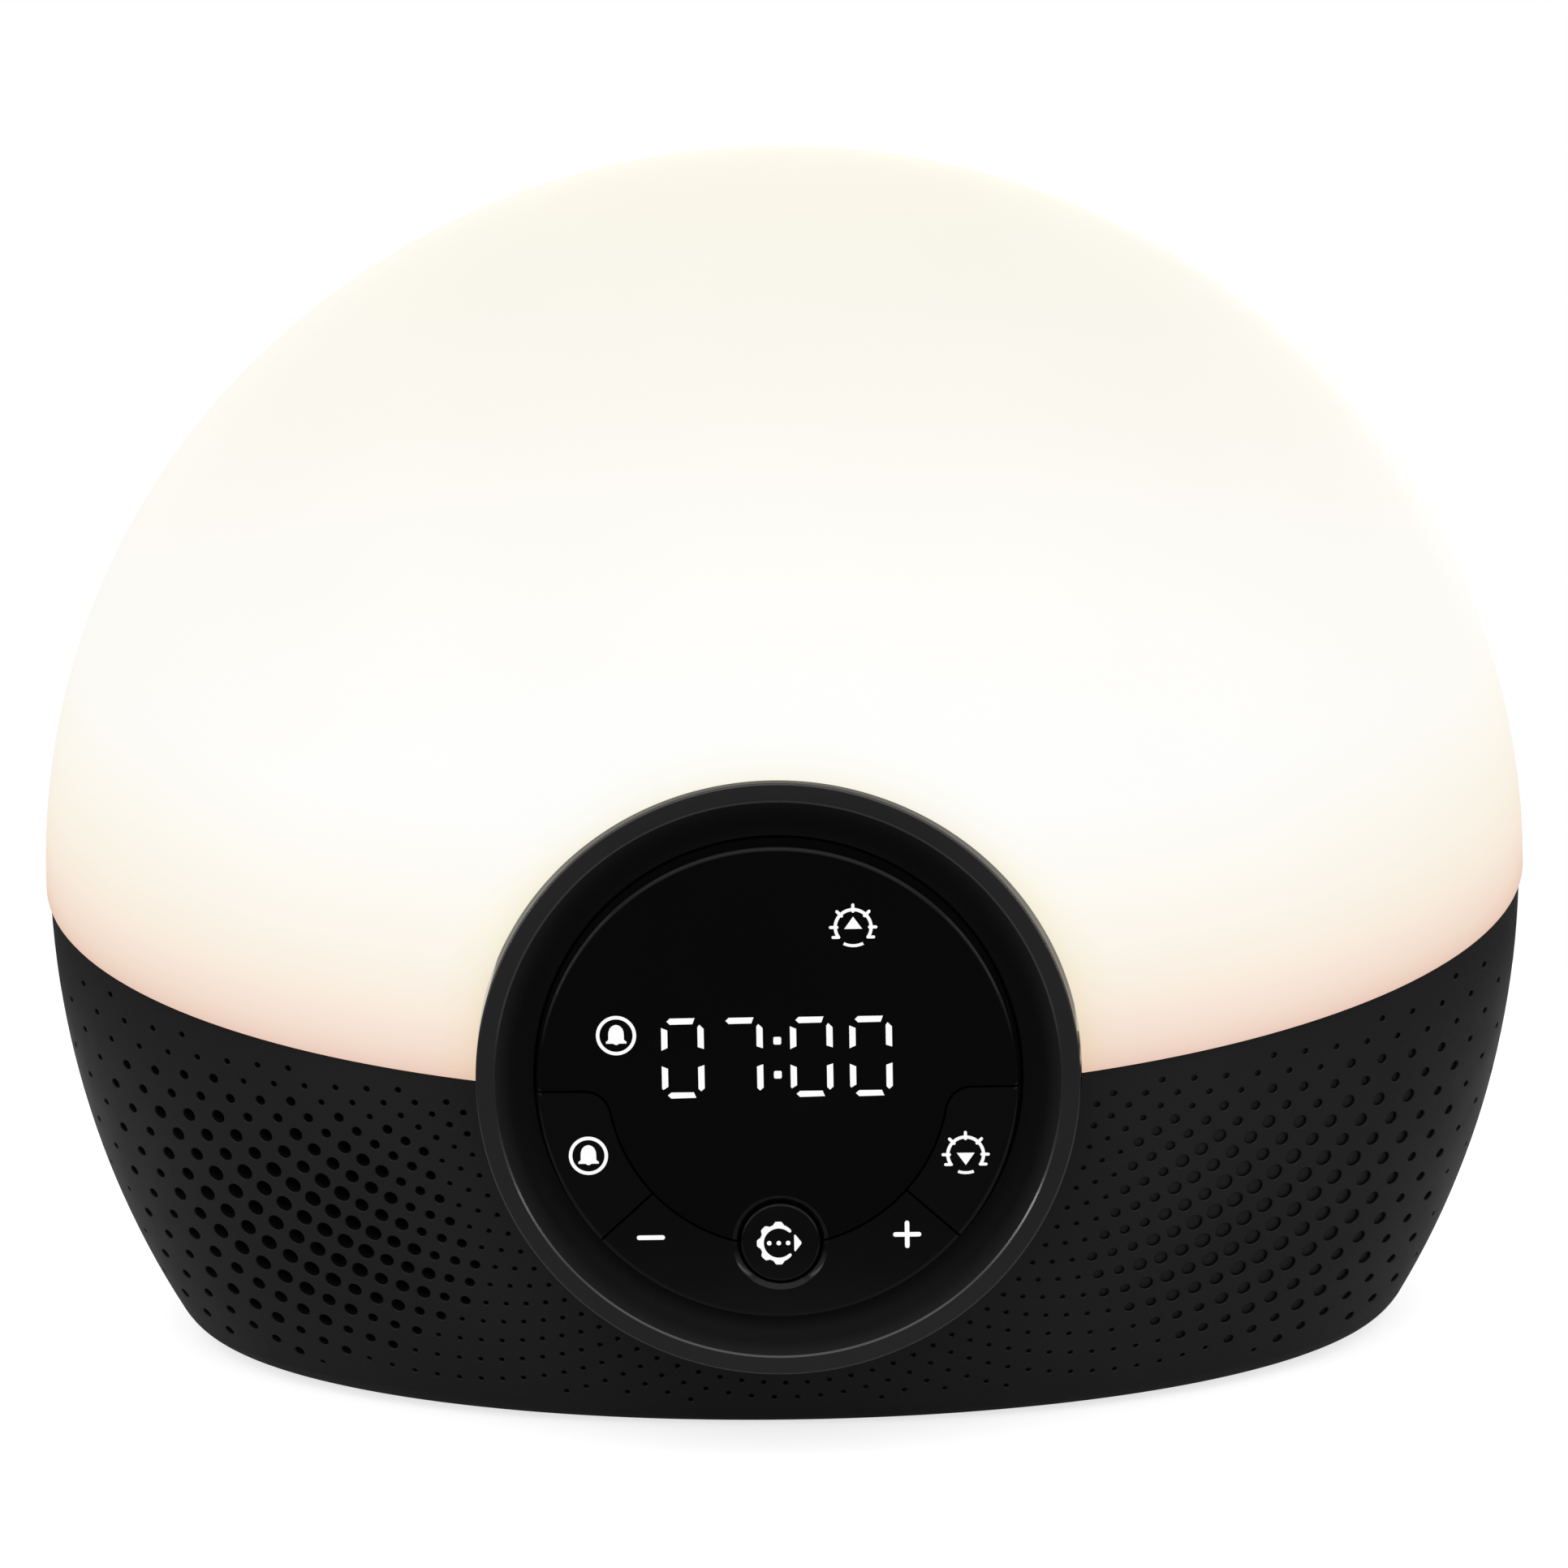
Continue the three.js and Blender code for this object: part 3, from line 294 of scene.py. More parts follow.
steel = moulded("zinc_steel", grey(0.42), grey(0.5), (0.25, 0.38), 1500.0, 0.00001, 1.0)
phosphor = moulded("phosphor", (0.8, 0.6, 0.16, 1), (0.88, 0.7, 0.24, 1), (0.3, 0.4), 900.0, 0.00001)
foam = moulded("black_foam", grey(0.022), grey(0.04), (0.85, 0.95), 1300.0, 0.0002)
paper = moulded("pressed_paper", grey(0.012), grey(0.024), (0.7, 0.85), 1500.0, 0.00008)
rubber = moulded("foot_rubber", grey(0.01), grey(0.016), (0.7, 0.82), 1800.0, 0.00004)
jacket = moulded("lead_jacket", grey(0.03), grey(0.045), (0.45, 0.55), 900.0, 0.00001)
inlet = moulded("inlet_black", grey(0.008), grey(0.012), (0.35, 0.45), 1800.0, 0.00002)


def vector_step(nodes, links, source, operation, value):
    step = nodes.new("ShaderNodeVectorMath")
    step.operation = operation
    step.inputs[1].default_value = value
    links.new(source, step.inputs[0])
    return step.outputs["Value" if operation in ("LENGTH", "DOT_PRODUCT") else "Vector"]


def tone_ramp(nodes, links, source, stops):
    """A colour for each distance, from screen colours out of 255."""
    tone = nodes.new("ShaderNodeValToRGB")
    tone.color_ramp.elements.remove(tone.color_ramp.elements[1])
    for i, (position, colour) in enumerate(stops):
        stop = tone.color_ramp.elements[0] if i == 0 else tone.color_ramp.elements.new(position)
        stop.position = position
        stop.color = (*[linear(c) for c in colour], 1)
    links.new(source, tone.inputs["Fac"])
    return tone.outputs["Color"]


def linear(level):
    share = level / 255
    return share / 12.92 if share <= 0.04045 else ((share + 0.055) / 1.055) ** 2.4


def multiplied(nodes, links, first, second):
    mix = nodes.new("ShaderNodeMix")
    mix.data_type, mix.blend_type = "RGBA", "MULTIPLY"
    mix.inputs["Factor"].default_value = 1.0
    links.new(first, mix.inputs["A"])
    links.new(second, mix.inputs["B"])
    return mix.outputs["Result"]


# Painted light and shade of the glowing dome, in screen colours: dimmer and rosier just above the split,
# dimmer beside the dial and towards the outline.
ABOVE_SPLIT = (
    (0.0, (236, 202, 186)), (0.027, (240, 213, 198)), (0.055, (244, 219, 203)), (0.085, (247, 224, 209)),
    (0.125, (249, 229, 215)), (0.165, (250, 233, 219)), (0.22, (252, 239, 225)), (0.3, (253, 243, 231)),
    (0.42, (254, 248, 238)), (0.58, (255, 252, 244)), (0.85, (255, 255, 255)),
)
FROM_RIM = (
    (0.0, (250, 246, 229)), (0.1, (252, 250, 239)), (0.25, (254, 253, 246)), (0.6, (255, 255, 254)),
)
FROM_MIDDLE = (
    (0.35, (255, 255, 255)), (0.52, (254, 253, 250)), (0.63, (252, 250, 245)), (0.72, (250, 247, 240)),
    (0.82, (248, 245, 237)), (0.93, (246, 243, 232)), (1.0, (246, 243, 230)),
)


SIDE_REACH, SPLIT_REACH = 200.0, 40.0


def from_dial_axis(nodes, links, where):
    """Distance from the dial's axis, in centimetres."""
    hub = dial_place.translation * MILLIMETRE
    axis = dial_place.to_3x3() @ Vector((0, 0, 1)) / (CENTIMETRE * MILLIMETRE)
    offset = vector_step(nodes, links, where, "SUBTRACT", hub)
    arm = vector_step(nodes, links, offset, "CROSS_PRODUCT", axis)
    return vector_step(nodes, links, arm, "LENGTH", (0, 0, 0))


# Painted shade in the dish, as screen levels out of 255 from the keys out to the rim.
DISH_SHADE_TONES = tuple(
    (share, (tone, tone, tone))
    for share, tone in ((0.0, 13), (0.2, 14), (0.4, 16.5), (0.56, 20), (0.71, 25), (0.87, 33), (1.0, 40))
)


def paint_dish_shade():
    """Soft black with painted shade: darkest beside the keys, lighter towards the rim."""
    material, nodes, links, shader = new_material("dish_black_painted_shade")
    where = nodes.new("ShaderNodeTexCoord").outputs["Object"]
    share = nodes.new("ShaderNodeMapRange")
    share.inputs["From Min"].default_value = (PLATEAU_RADIUS + PLATEAU_DRAFT) / CENTIMETRE
    share.inputs["From Max"].default_value = (DIAL_RADIUS - RIM_WIDTH) / CENTIMETRE
    links.new(from_dial_axis(nodes, links, where), share.inputs["Value"])
    cloud = ramp(nodes, links, noise(nodes, links, PATCHES), grey(0.92), grey(1.0))
    tone = tone_ramp(nodes, links, share.outputs["Result"], DISH_SHADE_TONES)
    links.new(multiplied(nodes, links, tone, cloud), shader.inputs["Base Color"])
    rough = spread(nodes, links, noise(nodes, links, GLOSS_PATCHES), 0.32, 0.38)
    links.new(rough, shader.inputs["Roughness"])
    shader.inputs["Specular IOR Level"].default_value = 0.06
    bumped(nodes, links, shader, noise(nodes, links, FINE_GRAIN), 0.000006)
    return material


def opal_glow():
    """Opal dome lit from inside, its light painted as a glow: nearly white, with painted shade making it
    cream towards its outline and beside the dial, and rosy and dimmer just above the base.
    """
    material, nodes, links, shader = new_material("opal_glow")
    where = nodes.new("ShaderNodeTexCoord").outputs["Object"]
    tilt = Vector((0, -math.sin(SPLIT_TILT), math.cos(SPLIT_TILT)))
    foot = Vector((0, DEPTH_SHIFT, SPLIT_LEVEL)) * MILLIMETRE
    rise = vector_step(nodes, links, where, "SUBTRACT", foot)
    above = vector_step(nodes, links, rise, "DOT_PRODUCT", tilt / (SPLIT_REACH * MILLIMETRE))
    rim = nodes.new("ShaderNodeMath")
    rim.operation = "SUBTRACT"
    rim.inputs[1].default_value = DIAL_RADIUS / CENTIMETRE
    links.new(from_dial_axis(nodes, links, where), rim.inputs[0])
    middle = vector_step(nodes, links, where, "SUBTRACT", Vector((0, 0, WIDEST)) * MILLIMETRE)
    shares = (1 / (SIDE_REACH * MILLIMETRE), 0, 1 / (CROWN * MILLIMETRE))
    scaled = vector_step(nodes, links, middle, "MULTIPLY", shares)
    outline = vector_step(nodes, links, scaled, "LENGTH", (0, 0, 0))
    colour = multiplied(nodes, links, tone_ramp(nodes, links, above, ABOVE_SPLIT),
                        tone_ramp(nodes, links, rim.outputs[0], FROM_RIM))
    colour = multiplied(nodes, links, colour, tone_ramp(nodes, links, outline, FROM_MIDDLE))
    links.new(colour, shader.inputs["Emission Color"])
    shader.inputs["Emission Strength"].default_value = 0.852
    cloud = ramp(nodes, links, noise(nodes, links, 30.0), grey(0.14), grey(0.155))
    links.new(multiplied(nodes, links, colour, cloud), shader.inputs["Base Color"])
    links.new(spread(nodes, links, noise(nodes, links, GLOSS_PATCHES), 0.42, 0.5), shader.inputs["Roughness"])
    shader.inputs["Specular IOR Level"].default_value = 0.1
    bumped(nodes, links, shader, noise(nodes, links, 2500.0), 0.000005)
    return material


def lit_mark():
    """White print that is lit from behind."""
    material, nodes, links, shader = new_material("lit_mark")
    links.new(ramp(nodes, links, noise(nodes, links, 900.0), grey(0.96), grey(1.0)),
              shader.inputs["Emission Color"])
    shader.inputs["Emission Strength"].default_value = 0.88
    shader.inputs["Base Color"].default_value = grey(0.12)
    shader.inputs["Roughness"].default_value = 0.4
    return material


opal = opal_glow()
dish_black_painted_shade = paint_dish_shade()
mark_white = lit_mark()


# Body.
CORNER_STEPS, LOWER_STEPS, UPPER_STEPS = 12, 24, 40


def body_profile(inset, bottom, rounding):
    """Radius shares and heights of the oval body, smaller all round by inset."""
    belly, crown, wide = BELLY - inset, CROWN - inset, HALF_WIDTH - inset

    def share(level):
        return math.sqrt(1 - ((WIDEST - level) / belly) ** 2)

    points = [(0, bottom)]
    start = bottom + rounding
    if rounding:
        edge = share(bottom) - rounding / wide
        corner, end = share(bottom), share(start)
        for i in range(CORNER_STEPS):
            t = i / CORNER_STEPS
            points.append((
                (1 - t) ** 2 * edge + 2 * t * (1 - t) * corner + t * t * end,
                (1 - t * t) * bottom + t * t * start,
            ))
    lowest = math.asin((WIDEST - start) / belly)
    for i in range(LOWER_STEPS):
        angle = lowest * (1 - i / LOWER_STEPS)
        points.append((math.cos(angle), WIDEST - belly * math.sin(angle)))
    for i in range(UPPER_STEPS):
        angle = i / UPPER_STEPS * math.pi / 2
        points.append((math.cos(angle), WIDEST + crown * math.sin(angle)))
    points.append((0, WIDEST + crown))
    return points


def body(inset, bottom, rounding=0.0):
    place = body_place @ Matrix.Diagonal((HALF_WIDTH - inset, HALF_DEPTH - inset, 1, 1))
    return lambda bm: turned(bm, body_profile(inset, bottom, rounding), BODY_STEPS, place)


def block(size, centre, place=Matrix()):
    at = place @ Matrix.Translation(centre) @ Matrix.Diagonal((*size, 1))
    return lambda bm: bmesh.ops.create_cube(bm, size=1, matrix=at)


def rod(radius, low, high, steps, place):
    return lambda bm: turned(bm, [(0, low), (radius, low), (radius, high), (0, high)], steps, place)


def beyond_split(low, high):
    return block((4 * HALF_WIDTH, 4 * HALF_WIDTH, high - low), (0, 0, (low + high) / 2), split_place)


def dial_hole():
    return rod(DIAL_RADIUS + GAP, -HOUSING_DEPTH - GAP, 2 * DIAL_RADIUS, ROUND, dial_place)


ON_OVAL, FACING_OUT = 2e-3, 0.98


def oval_normals(obj, inset):
    """Gives the outer wall the exact normals of the oval body, so that cuts don't disturb its shading."""
    mesh = obj.data
    axes_low = Vector((HALF_WIDTH - inset, HALF_DEPTH - inset, BELLY - inset))
    axes_high = Vector((HALF_WIDTH - inset, HALF_DEPTH - inset, CROWN - inset))
    middle = Vector((0, DEPTH_SHIFT, WIDEST))
    normals = [Vector()] * len(mesh.loops)
    for face in mesh.polygons:
        for loop in face.loop_indices:
            at = mesh.vertices[mesh.loops[loop].vertex_index].co - middle
            axes = axes_high if at.z > 0 else axes_low
            share = Vector(a / b for a, b in zip(at, axes))
            out = Vector(a / b for a, b in zip(share, axes)).normalized()
            if abs(share.length - 1) < ON_OVAL and out.dot(face.normal) > FACING_OUT:
                normals[loop] = out
    mesh.normals_split_custom_set(normals)


def make_dome():
    dome = solid("dome_shade", body(0, BOTTOM))
    combine(dome, solid("inside", body(DOME_WALL, BOTTOM - PAST)), "DIFFERENCE")
    combine(dome, solid("above", beyond_split(GAP / 2, 2 * CROWN)), "INTERSECT")
    combine(dome, solid("hole", dial_hole()), "DIFFERENCE")
    shade(dome)
    oval_normals(dome, 0)
    finish_piece(dome, Matrix(), opal, "housing", "dome", "dome_diffuser")


# Base with its field of dots, in rings about the dial. A dot class has its reach, radius and sides.
PATTERN_DROP, FIRST_RING, RING_PITCH, TALL_SHARE = 1.13, 41.27, 2.103, 1.03
DOT_STEP = math.radians(2)
MIDDLE_RING, MIDDLE_COLUMN, COLUMN_LEAN = 13, 35.5, 0.24
RING_REACH, FIELD_POWER = 1.32, 4.5
RINGS, COLUMNS = 27, 48
UPPER_CLEAR, LOWER_LEVEL, DIAL_CLEAR = 2.9, 4.2, 1.2
DOT_CLASSES = ((3.8, 1.1, 18), (6.0, 0.92, 16), (8.1, 0.67, 12), (99.0, 0.42, 10), (99.0, 0.33, 8))
OUTER_KIND, UPPER_COLUMN = 3, 40
DEEP_DOT, SHALLOW_DOT, THROUGH_DOT = 1.9, 0.55, 3.2
DOT_STRETCH, MOST_TURNED, DOT_FLARE = 0.5, 0.5, 0.12
WALL_SLACK, FLOOR_FACING = 0.1, 0.8


def dot_class(ring, column):
    """Dots are largest in the middle of each side, and the outer ones are larger beside the split."""
    middle = MIDDLE_COLUMN + COLUMN_LEAN * (ring - MIDDLE_RING)
    across = abs(abs(column) - middle) ** FIELD_POWER
    along = abs((ring - MIDDLE_RING) / RING_REACH) ** FIELD_POWER
    reach = (across + along) ** (1 / FIELD_POWER)
    kind = next(i for i, (limit, _, _) in enumerate(DOT_CLASSES) if reach < limit)
    return kind + 1 if kind == OUTER_KIND and abs(column) < UPPER_COLUMN else kind


def dot_place(ring, column):
    """Where a dot meets the base, as a frame with its Z along the outward normal."""
    radius = FIRST_RING + RING_PITCH * ring
    turn = column * DOT_STEP
    right = radius * math.sin(turn)
    up = -PATTERN_DROP - TALL_SHARE * radius * math.cos(turn)
    axes = Vector((HALF_WIDTH, HALF_DEPTH, BELLY)) - Vector((DOME_OVERHANG,) * 3)
    middle = Vector((0, DEPTH_SHIFT, WIDEST))

    def shrink(v):
        return Vector(a / b for a, b in zip(v, axes))

    start = shrink(dial_place @ Vector((right, up, 0)) - middle)
    along = shrink(dial_place.to_3x3() @ Vector((0, 0, -1)))
    across = start.dot(along) / along.length_squared
    inside = across ** 2 - (start.length_squared - 1) / along.length_squared
    if inside < 0:
        return None
    at = start + along * (-across - math.sqrt(inside))
    out = shrink(at).normalized()
    point = Vector(a * b for a, b in zip(at, axes)) + middle
    side = Vector((0, 0, 1)).cross(out).normalized()
    wider = max(-out.y, MOST_TURNED) ** -DOT_STRETCH
    turn_to = Matrix((side * wider, out.cross(side), out)).transposed().to_4x4()
    return Matrix.Translation(point) @ turn_to


def clear_of_edges(place, radius):
    point = place.translation
    below_split = -(split_place.inverted() @ point).z
    from_dial = (dial_place.inverted() @ point).xy.length
    return (
        below_split > UPPER_CLEAR
        and point.z > LOWER_LEVEL + radius
        and from_dial > DIAL_RADIUS + DIAL_CLEAR + radius
    )


def dot_cutter(radius, sides, depth):
    mouth = (radius + 2 * DOT_FLARE, DOT_FLARE)
    profile = [(0, -depth), (radius, -depth), (radius, -DOT_FLARE), mouth, (0, DOT_FLARE)]
    shape = bpy.data.meshes.new("dot")
    bm = bmesh.new()
    turned(bm, profile, sides)
    outward(bm)
    bm.to_mesh(shape)
    bm.free()
    return shape


def dot_field():
    cutters = {}
    bm = bmesh.new()
    for ring in range(RINGS):
        for column in range(-COLUMNS, COLUMNS + 1):
            if (column - ring) % 2:
                continue
            place = dot_place(ring, column)
            kind = dot_class(ring, column)
            _, radius, sides = DOT_CLASSES[kind]
            if place is None or not clear_of_edges(place, radius):
                continue
            depth = SHALLOW_DOT if column > 0 else (THROUGH_DOT if kind < 2 else DEEP_DOT)
            key = (kind, depth)
            if key not in cutters:
                cutters[key] = dot_cutter(radius, sides, depth)
            count = len(bm.verts)
            bm.from_mesh(cutters[key])
            bm.verts.ensure_lookup_table()
            bmesh.ops.transform(bm, matrix=place, verts=bm.verts[count:])
    for shape in cutters.values():
        bpy.data.meshes.remove(shape)
    return mesh_object("dots", bm, tidy=False)


JACK_LEVEL, JACK_SEAT, JACK_RECESS, JACK_BARREL = 18.0, 49.5, 8.0, 4.5
JACK_INNER, JACK_OUTER, RECESS_STEPS, BARREL_STEPS = 30, 80, 64, 48
COVER_HALF_WIDTH, COVER_HALF_DEPTH, COVER_TOP, COVER_LEDGE = 72.0, 40.0, 3.3, 6.0
jack_place = body_place @ Matrix.Translation((0, 0, JACK_LEVEL)) @ Matrix.Rotation(-math.pi / 2, 4, "X")


def oval_rod(half_x, half_y, low, high):
    place = body_place @ Matrix.Diagonal((half_x, half_y, 1, 1))
    return rod(1, low, high, BODY_STEPS, place)


def in_dot(face):
    """Whether a face lies in a dot, and so gets painted shade. In the dimples on the right, only the walls
    do.
    """
    axes = Vector((HALF_WIDTH, HALF_DEPTH, BELLY)) - Vector((DOME_OVERHANG,) * 3)
    share = Vector(a / b for a, b in zip(face.center - Vector((0, DEPTH_SHIFT, WIDEST)), axes))
    slope = Vector(a / b for a, b in zip(share, axes))
    depth = (1 - share.length) * share.length / slope.length
    if face.center.y > 0 or not WALL_SLACK < depth < BASE_WALL - WALL_SLACK:
        return False
    if not clear_of_edges(Matrix.Translation(face.center), 0):
        return False
    return face.center.x < 0 or face.normal.dot(slope.normalized()) < FLOOR_FACING


def make_base():
    base = solid("base_housing", body(DOME_OVERHANG, BOTTOM, BOTTOM_EDGE))
    combine(base, solid("inside", body(DOME_OVERHANG + BASE_WALL, FLOOR_TOP)), "DIFFERENCE")
    combine(base, solid("below", beyond_split(-2 * BELLY, -GAP / 2)), "INTERSECT")
    combine(base, solid("hole", dial_hole()), "DIFFERENCE")
    cover = oval_rod(COVER_HALF_WIDTH + GAP, COVER_HALF_DEPTH + GAP, -PAST, COVER_TOP + GAP)
    combine(base, solid("cover", cover), "DIFFERENCE")
    narrow, shallow = COVER_HALF_WIDTH - COVER_LEDGE, COVER_HALF_DEPTH - COVER_LEDGE
    opening = oval_rod(narrow, shallow, -PAST, FLOOR_TOP + PAST)
    combine(base, solid("opening", opening), "DIFFERENCE")
    recess = rod(JACK_RECESS, JACK_SEAT, JACK_OUTER, RECESS_STEPS, jack_place)
    combine(base, solid("recess", recess), "DIFFERENCE")
    barrel = rod(JACK_BARREL + GAP, JACK_INNER, JACK_OUTER, BARREL_STEPS, jack_place)
    combine(base, solid("barrel", barrel), "DIFFERENCE")
    combine(base, dot_field(), "DIFFERENCE")
    shade(base)
    oval_normals(base, DOME_OVERHANG)
    dots = [in_dot(face) for face in base.data.polygons]
    finish_piece(base, Matrix(), charcoal, "housing", "dark_shell", "base_shell")
    # Faces in the dots take the darker black: painted shade.
    base.data.materials.append(dot_painted_shade)
    for face, inside in zip(base.data.polygons, dots):
        face.material_index = int(inside)


# Dial.
LIP_WIDTH, EDGE_TILT = 0.25, math.radians(29)
DISH_STEPS, RIM_EDGE_STEPS = 24, 8
KEY_FLANGE, FLANGE_THICKNESS = 1.8, 0.8


def bezel_profile():
    dish_radius = DIAL_RADIUS - RIM_WIDTH
    hole = PLATEAU_RADIUS + PLATEAU_DRAFT + GAP / 2
    start = hole + GAP
    slope = 2 * math.atan(DISH_DEPTH / (dish_radius - start))
    curve = (dish_radius - start) / math.sin(slope)
    points = [(hole, -DISH_DEPTH - DISH_FLOOR), (hole, -DISH_DEPTH)]
    last = math.acos(1 - (DISH_DEPTH - LIP_WIDTH * math.tan(EDGE_TILT)) / curve)
    points += arc((start, curve - DISH_DEPTH), curve, -math.pi / 2, last - math.pi / 2, DISH_STEPS)
    points.append((points[-1][0] + LIP_WIDTH, 0))
    points += arc((DIAL_RADIUS - RIM_CHAMFER, -RIM_CHAMFER), RIM_CHAMFER, math.pi / 2, 0, RIM_EDGE_STEPS)
    ledge = PLATEAU_RADIUS + PLATEAU_DRAFT + KEY_FLANGE + GAP
    points += [(DIAL_RADIUS, -HOUSING_DEPTH), (DIAL_RADIUS - HOUSING_WALL, -HOUSING_DEPTH)]
    points += [(DIAL_RADIUS - HOUSING_WALL, -LEDGE_DEPTH), (ledge, -LEDGE_DEPTH)]
    points.append((ledge, -DISH_DEPTH - DISH_FLOOR))
    return points


STEEP, LEVEL, LIP_SLACK = 0.3, 0.99, 0.1
RIM_FINISH, DISH_SHADE_SLOT, EDGE_FINISH = range(3)


def bezel_finish(face):
    if face.center.xy.length < DIAL_RADIUS - RIM_WIDTH - LIP_SLACK and face.center.z < 0:
        return DISH_SHADE_SLOT
    return EDGE_FINISH if STEEP < face.normal.z < LEVEL else RIM_FINISH


def make_bezel():
    bezel = solid("bezel_ring", lambda bm: turned(bm, bezel_profile()))
    shade(bezel)
    finishes = [bezel_finish(face) for face in bezel.data.polygons]
    finish_piece(bezel, dial_place, rim_black, "housing", "dark_rim", "dial_bezel")
    # The dish's faces take the black with painted shade.
    bezel.data.materials.append(dish_black_painted_shade)
    bezel.data.materials.append(polished_edge)
    for face, finish in zip(bezel.data.polygons, finishes):
        face.material_index = finish


def plateau(low):
    points = [(0, low), (PLATEAU_RADIUS + PLATEAU_DRAFT, low), (PLATEAU_RADIUS + PLATEAU_DRAFT, -DISH_DEPTH)]
    middle = (PLATEAU_RADIUS - PLATEAU_EDGE, PLATEAU_RISE - PLATEAU_EDGE)
    points += arc(middle, PLATEAU_EDGE, 0, math.pi / 2, RIM_EDGE_STEPS)
    points.append((0, PLATEAU_RISE))
    return lambda bm: turned(bm, points)


CORNER_ARC_STEPS, SEAM_ARC_STEPS = 12, 72


def seam_outline(offset, closed_above):
    """The line between window and keys, moved by offset towards the window."""
    far = 2 * DIAL_RADIUS
    drop = SEAM_DROP + CORNER_RADIUS
    centre_x = math.sqrt((INNER_RADIUS + CORNER_RADIUS) ** 2 - drop ** 2)
    centre_y = KEY_LIFT - drop
    lean = math.atan2(drop, centre_x)
    line = KEY_LIFT + offset - SEAM_DROP
    points = [(-far, line)]
    points += arc((-centre_x, centre_y), CORNER_RADIUS + offset, math.pi / 2, lean, CORNER_ARC_STEPS)
    points += arc((0, KEY_LIFT), INNER_RADIUS - offset, math.pi + lean, math.tau - lean, SEAM_ARC_STEPS)[1:-1]
    points += arc((centre_x, centre_y), CORNER_RADIUS + offset, math.pi - lean, math.pi / 2, CORNER_ARC_STEPS)
    points.append((far, line))
    end = far if closed_above else -far
    return points + [(far, end), (-far, end)]


def select_hole(bm):
    hole = SELECT_RADIUS + GAP
    mouth = hole + SELECT_CHAMFER
    points = [(0, -HOLE_REACH), (hole, -HOLE_REACH), (hole, FACE - SELECT_CHAMFER * math.tan(EDGE_TILT))]
    points += [(mouth, FACE), (mouth, HOLE_REACH), (0, HOLE_REACH)]
    turned(bm, points, SMALL_STEPS, Matrix.Translation((0, -SELECT_DROP, 0)))


KEY_EDGE = 0.14


def seam_side(offset, closed_above, high=SEAM_REACH):
    """All that lies on one side of the seam, up to a height."""
    return lambda bm: prism(bm, seam_outline(offset, closed_above), -SEAM_REACH, high)


def display_pocket():
    """Room for the display behind the window."""
    face = FACE - WINDOW_WALL
    pocket = solid("pocket", rod(PLATEAU_RADIUS - WINDOW_WALL, -SEAM_REACH, SEAM_REACH, ROUND, Matrix()))
    combine(pocket, solid("inner_line", seam_side(GAP / 2 + WINDOW_WALL, True, face)), "INTERSECT")
    at_select = Matrix.Translation((0, -SELECT_DROP, 0))
    collar = rod(SELECT_RADIUS + GAP + WINDOW_WALL, -HOLE_REACH, HOLE_REACH, SMALL_STEPS, at_select)
    return combine(pocket, solid("collar", collar), "DIFFERENCE")


def make_window():
    window = solid("display_glass", plateau(-LEDGE_DEPTH))
    combine(window, solid("line", seam_side(GAP / 2, True)), "INTERSECT")
    combine(window, solid("round", select_hole), "DIFFERENCE")
    soften(window, KEY_EDGE)
    combine(window, display_pocket(), "DIFFERENCE")
    shade(window)
    flatten_face(window)
    finish_piece(window, dial_place, window_black, "housing", "black_gloss", "display_window")


def divider(side, direction):
    """Half space beside the divider between a side key and the rocker."""
    turn = math.pi + DIVIDER_DROP if side < 0 else -DIVIDER_DROP
    far = 2 * DIAL_RADIUS
    place = Matrix.Translation((0, KEY_LIFT, 0)) @ Matrix.Rotation(turn, 4, "Z")
    return block((2 * far, far, 2 * far), (0, direction * (far + GAP) / 2, 0), place)


def key_band(name):
    """The part of the dial's face below the seam, with its flange behind the bezel."""
    flange_radius = PLATEAU_RADIUS + PLATEAU_DRAFT + KEY_FLANGE
    flange = rod(flange_radius, -KEY_BACK, -KEY_BACK + FLANGE_THICKNESS, ROUND, Matrix())
    key = solid(name, plateau(-KEY_BACK))
    combine(key, solid("flange", flange), "UNION")
    combine(key, solid("line", seam_side(-GAP / 2, False)), "INTERSECT")
    return combine(key, solid("round", select_hole), "DIFFERENCE")


STEM_RADIUS, STEM_END, STEM_STEPS = 1.6, 9.7, 32
SIDE_STEM_X, SIDE_STEM_Y = 24, -10
LEVEL_STEM_X, LEVEL_STEM_Y = 16.2, -20.7
SELECT_EDGE, SELECT_STEPS = 0.35, 128


def add_stem(key, x, y):
    stem = rod(STEM_RADIUS, -STEM_END, -KEY_BACK + GAP, STEM_STEPS, Matrix.Translation((x, y, 0)))
    combine(key, solid("stem", stem), "UNION")


def finish_key(key, body_name, node):
    shade(key)
    flatten_face(key)
    finish_piece(key, dial_place, key_black, body_name, "black_key", node)


def make_keys():
    for side, name, node in ((-1, "alarm_touch", "alarm_key"), (1, "sunset_touch", "sunset_key")):
        key = key_band(name)
        combine(key, solid("side", divider(side, side)), "INTERSECT")
        soften(key, KEY_EDGE)
        add_stem(key, side * SIDE_STEM_X, SIDE_STEM_Y)
        finish_key(key, node + "_body", node)
    rocker = key_band("level_touch")
    for side in (-1, 1):
        combine(rocker, solid("side", divider(side, -side)), "INTERSECT")
    soften(rocker, KEY_EDGE)
    for side in (-1, 1):
        add_stem(rocker, side * LEVEL_STEM_X, LEVEL_STEM_Y)
    finish_key(rocker, "level_rocker_body", "level_rocker")


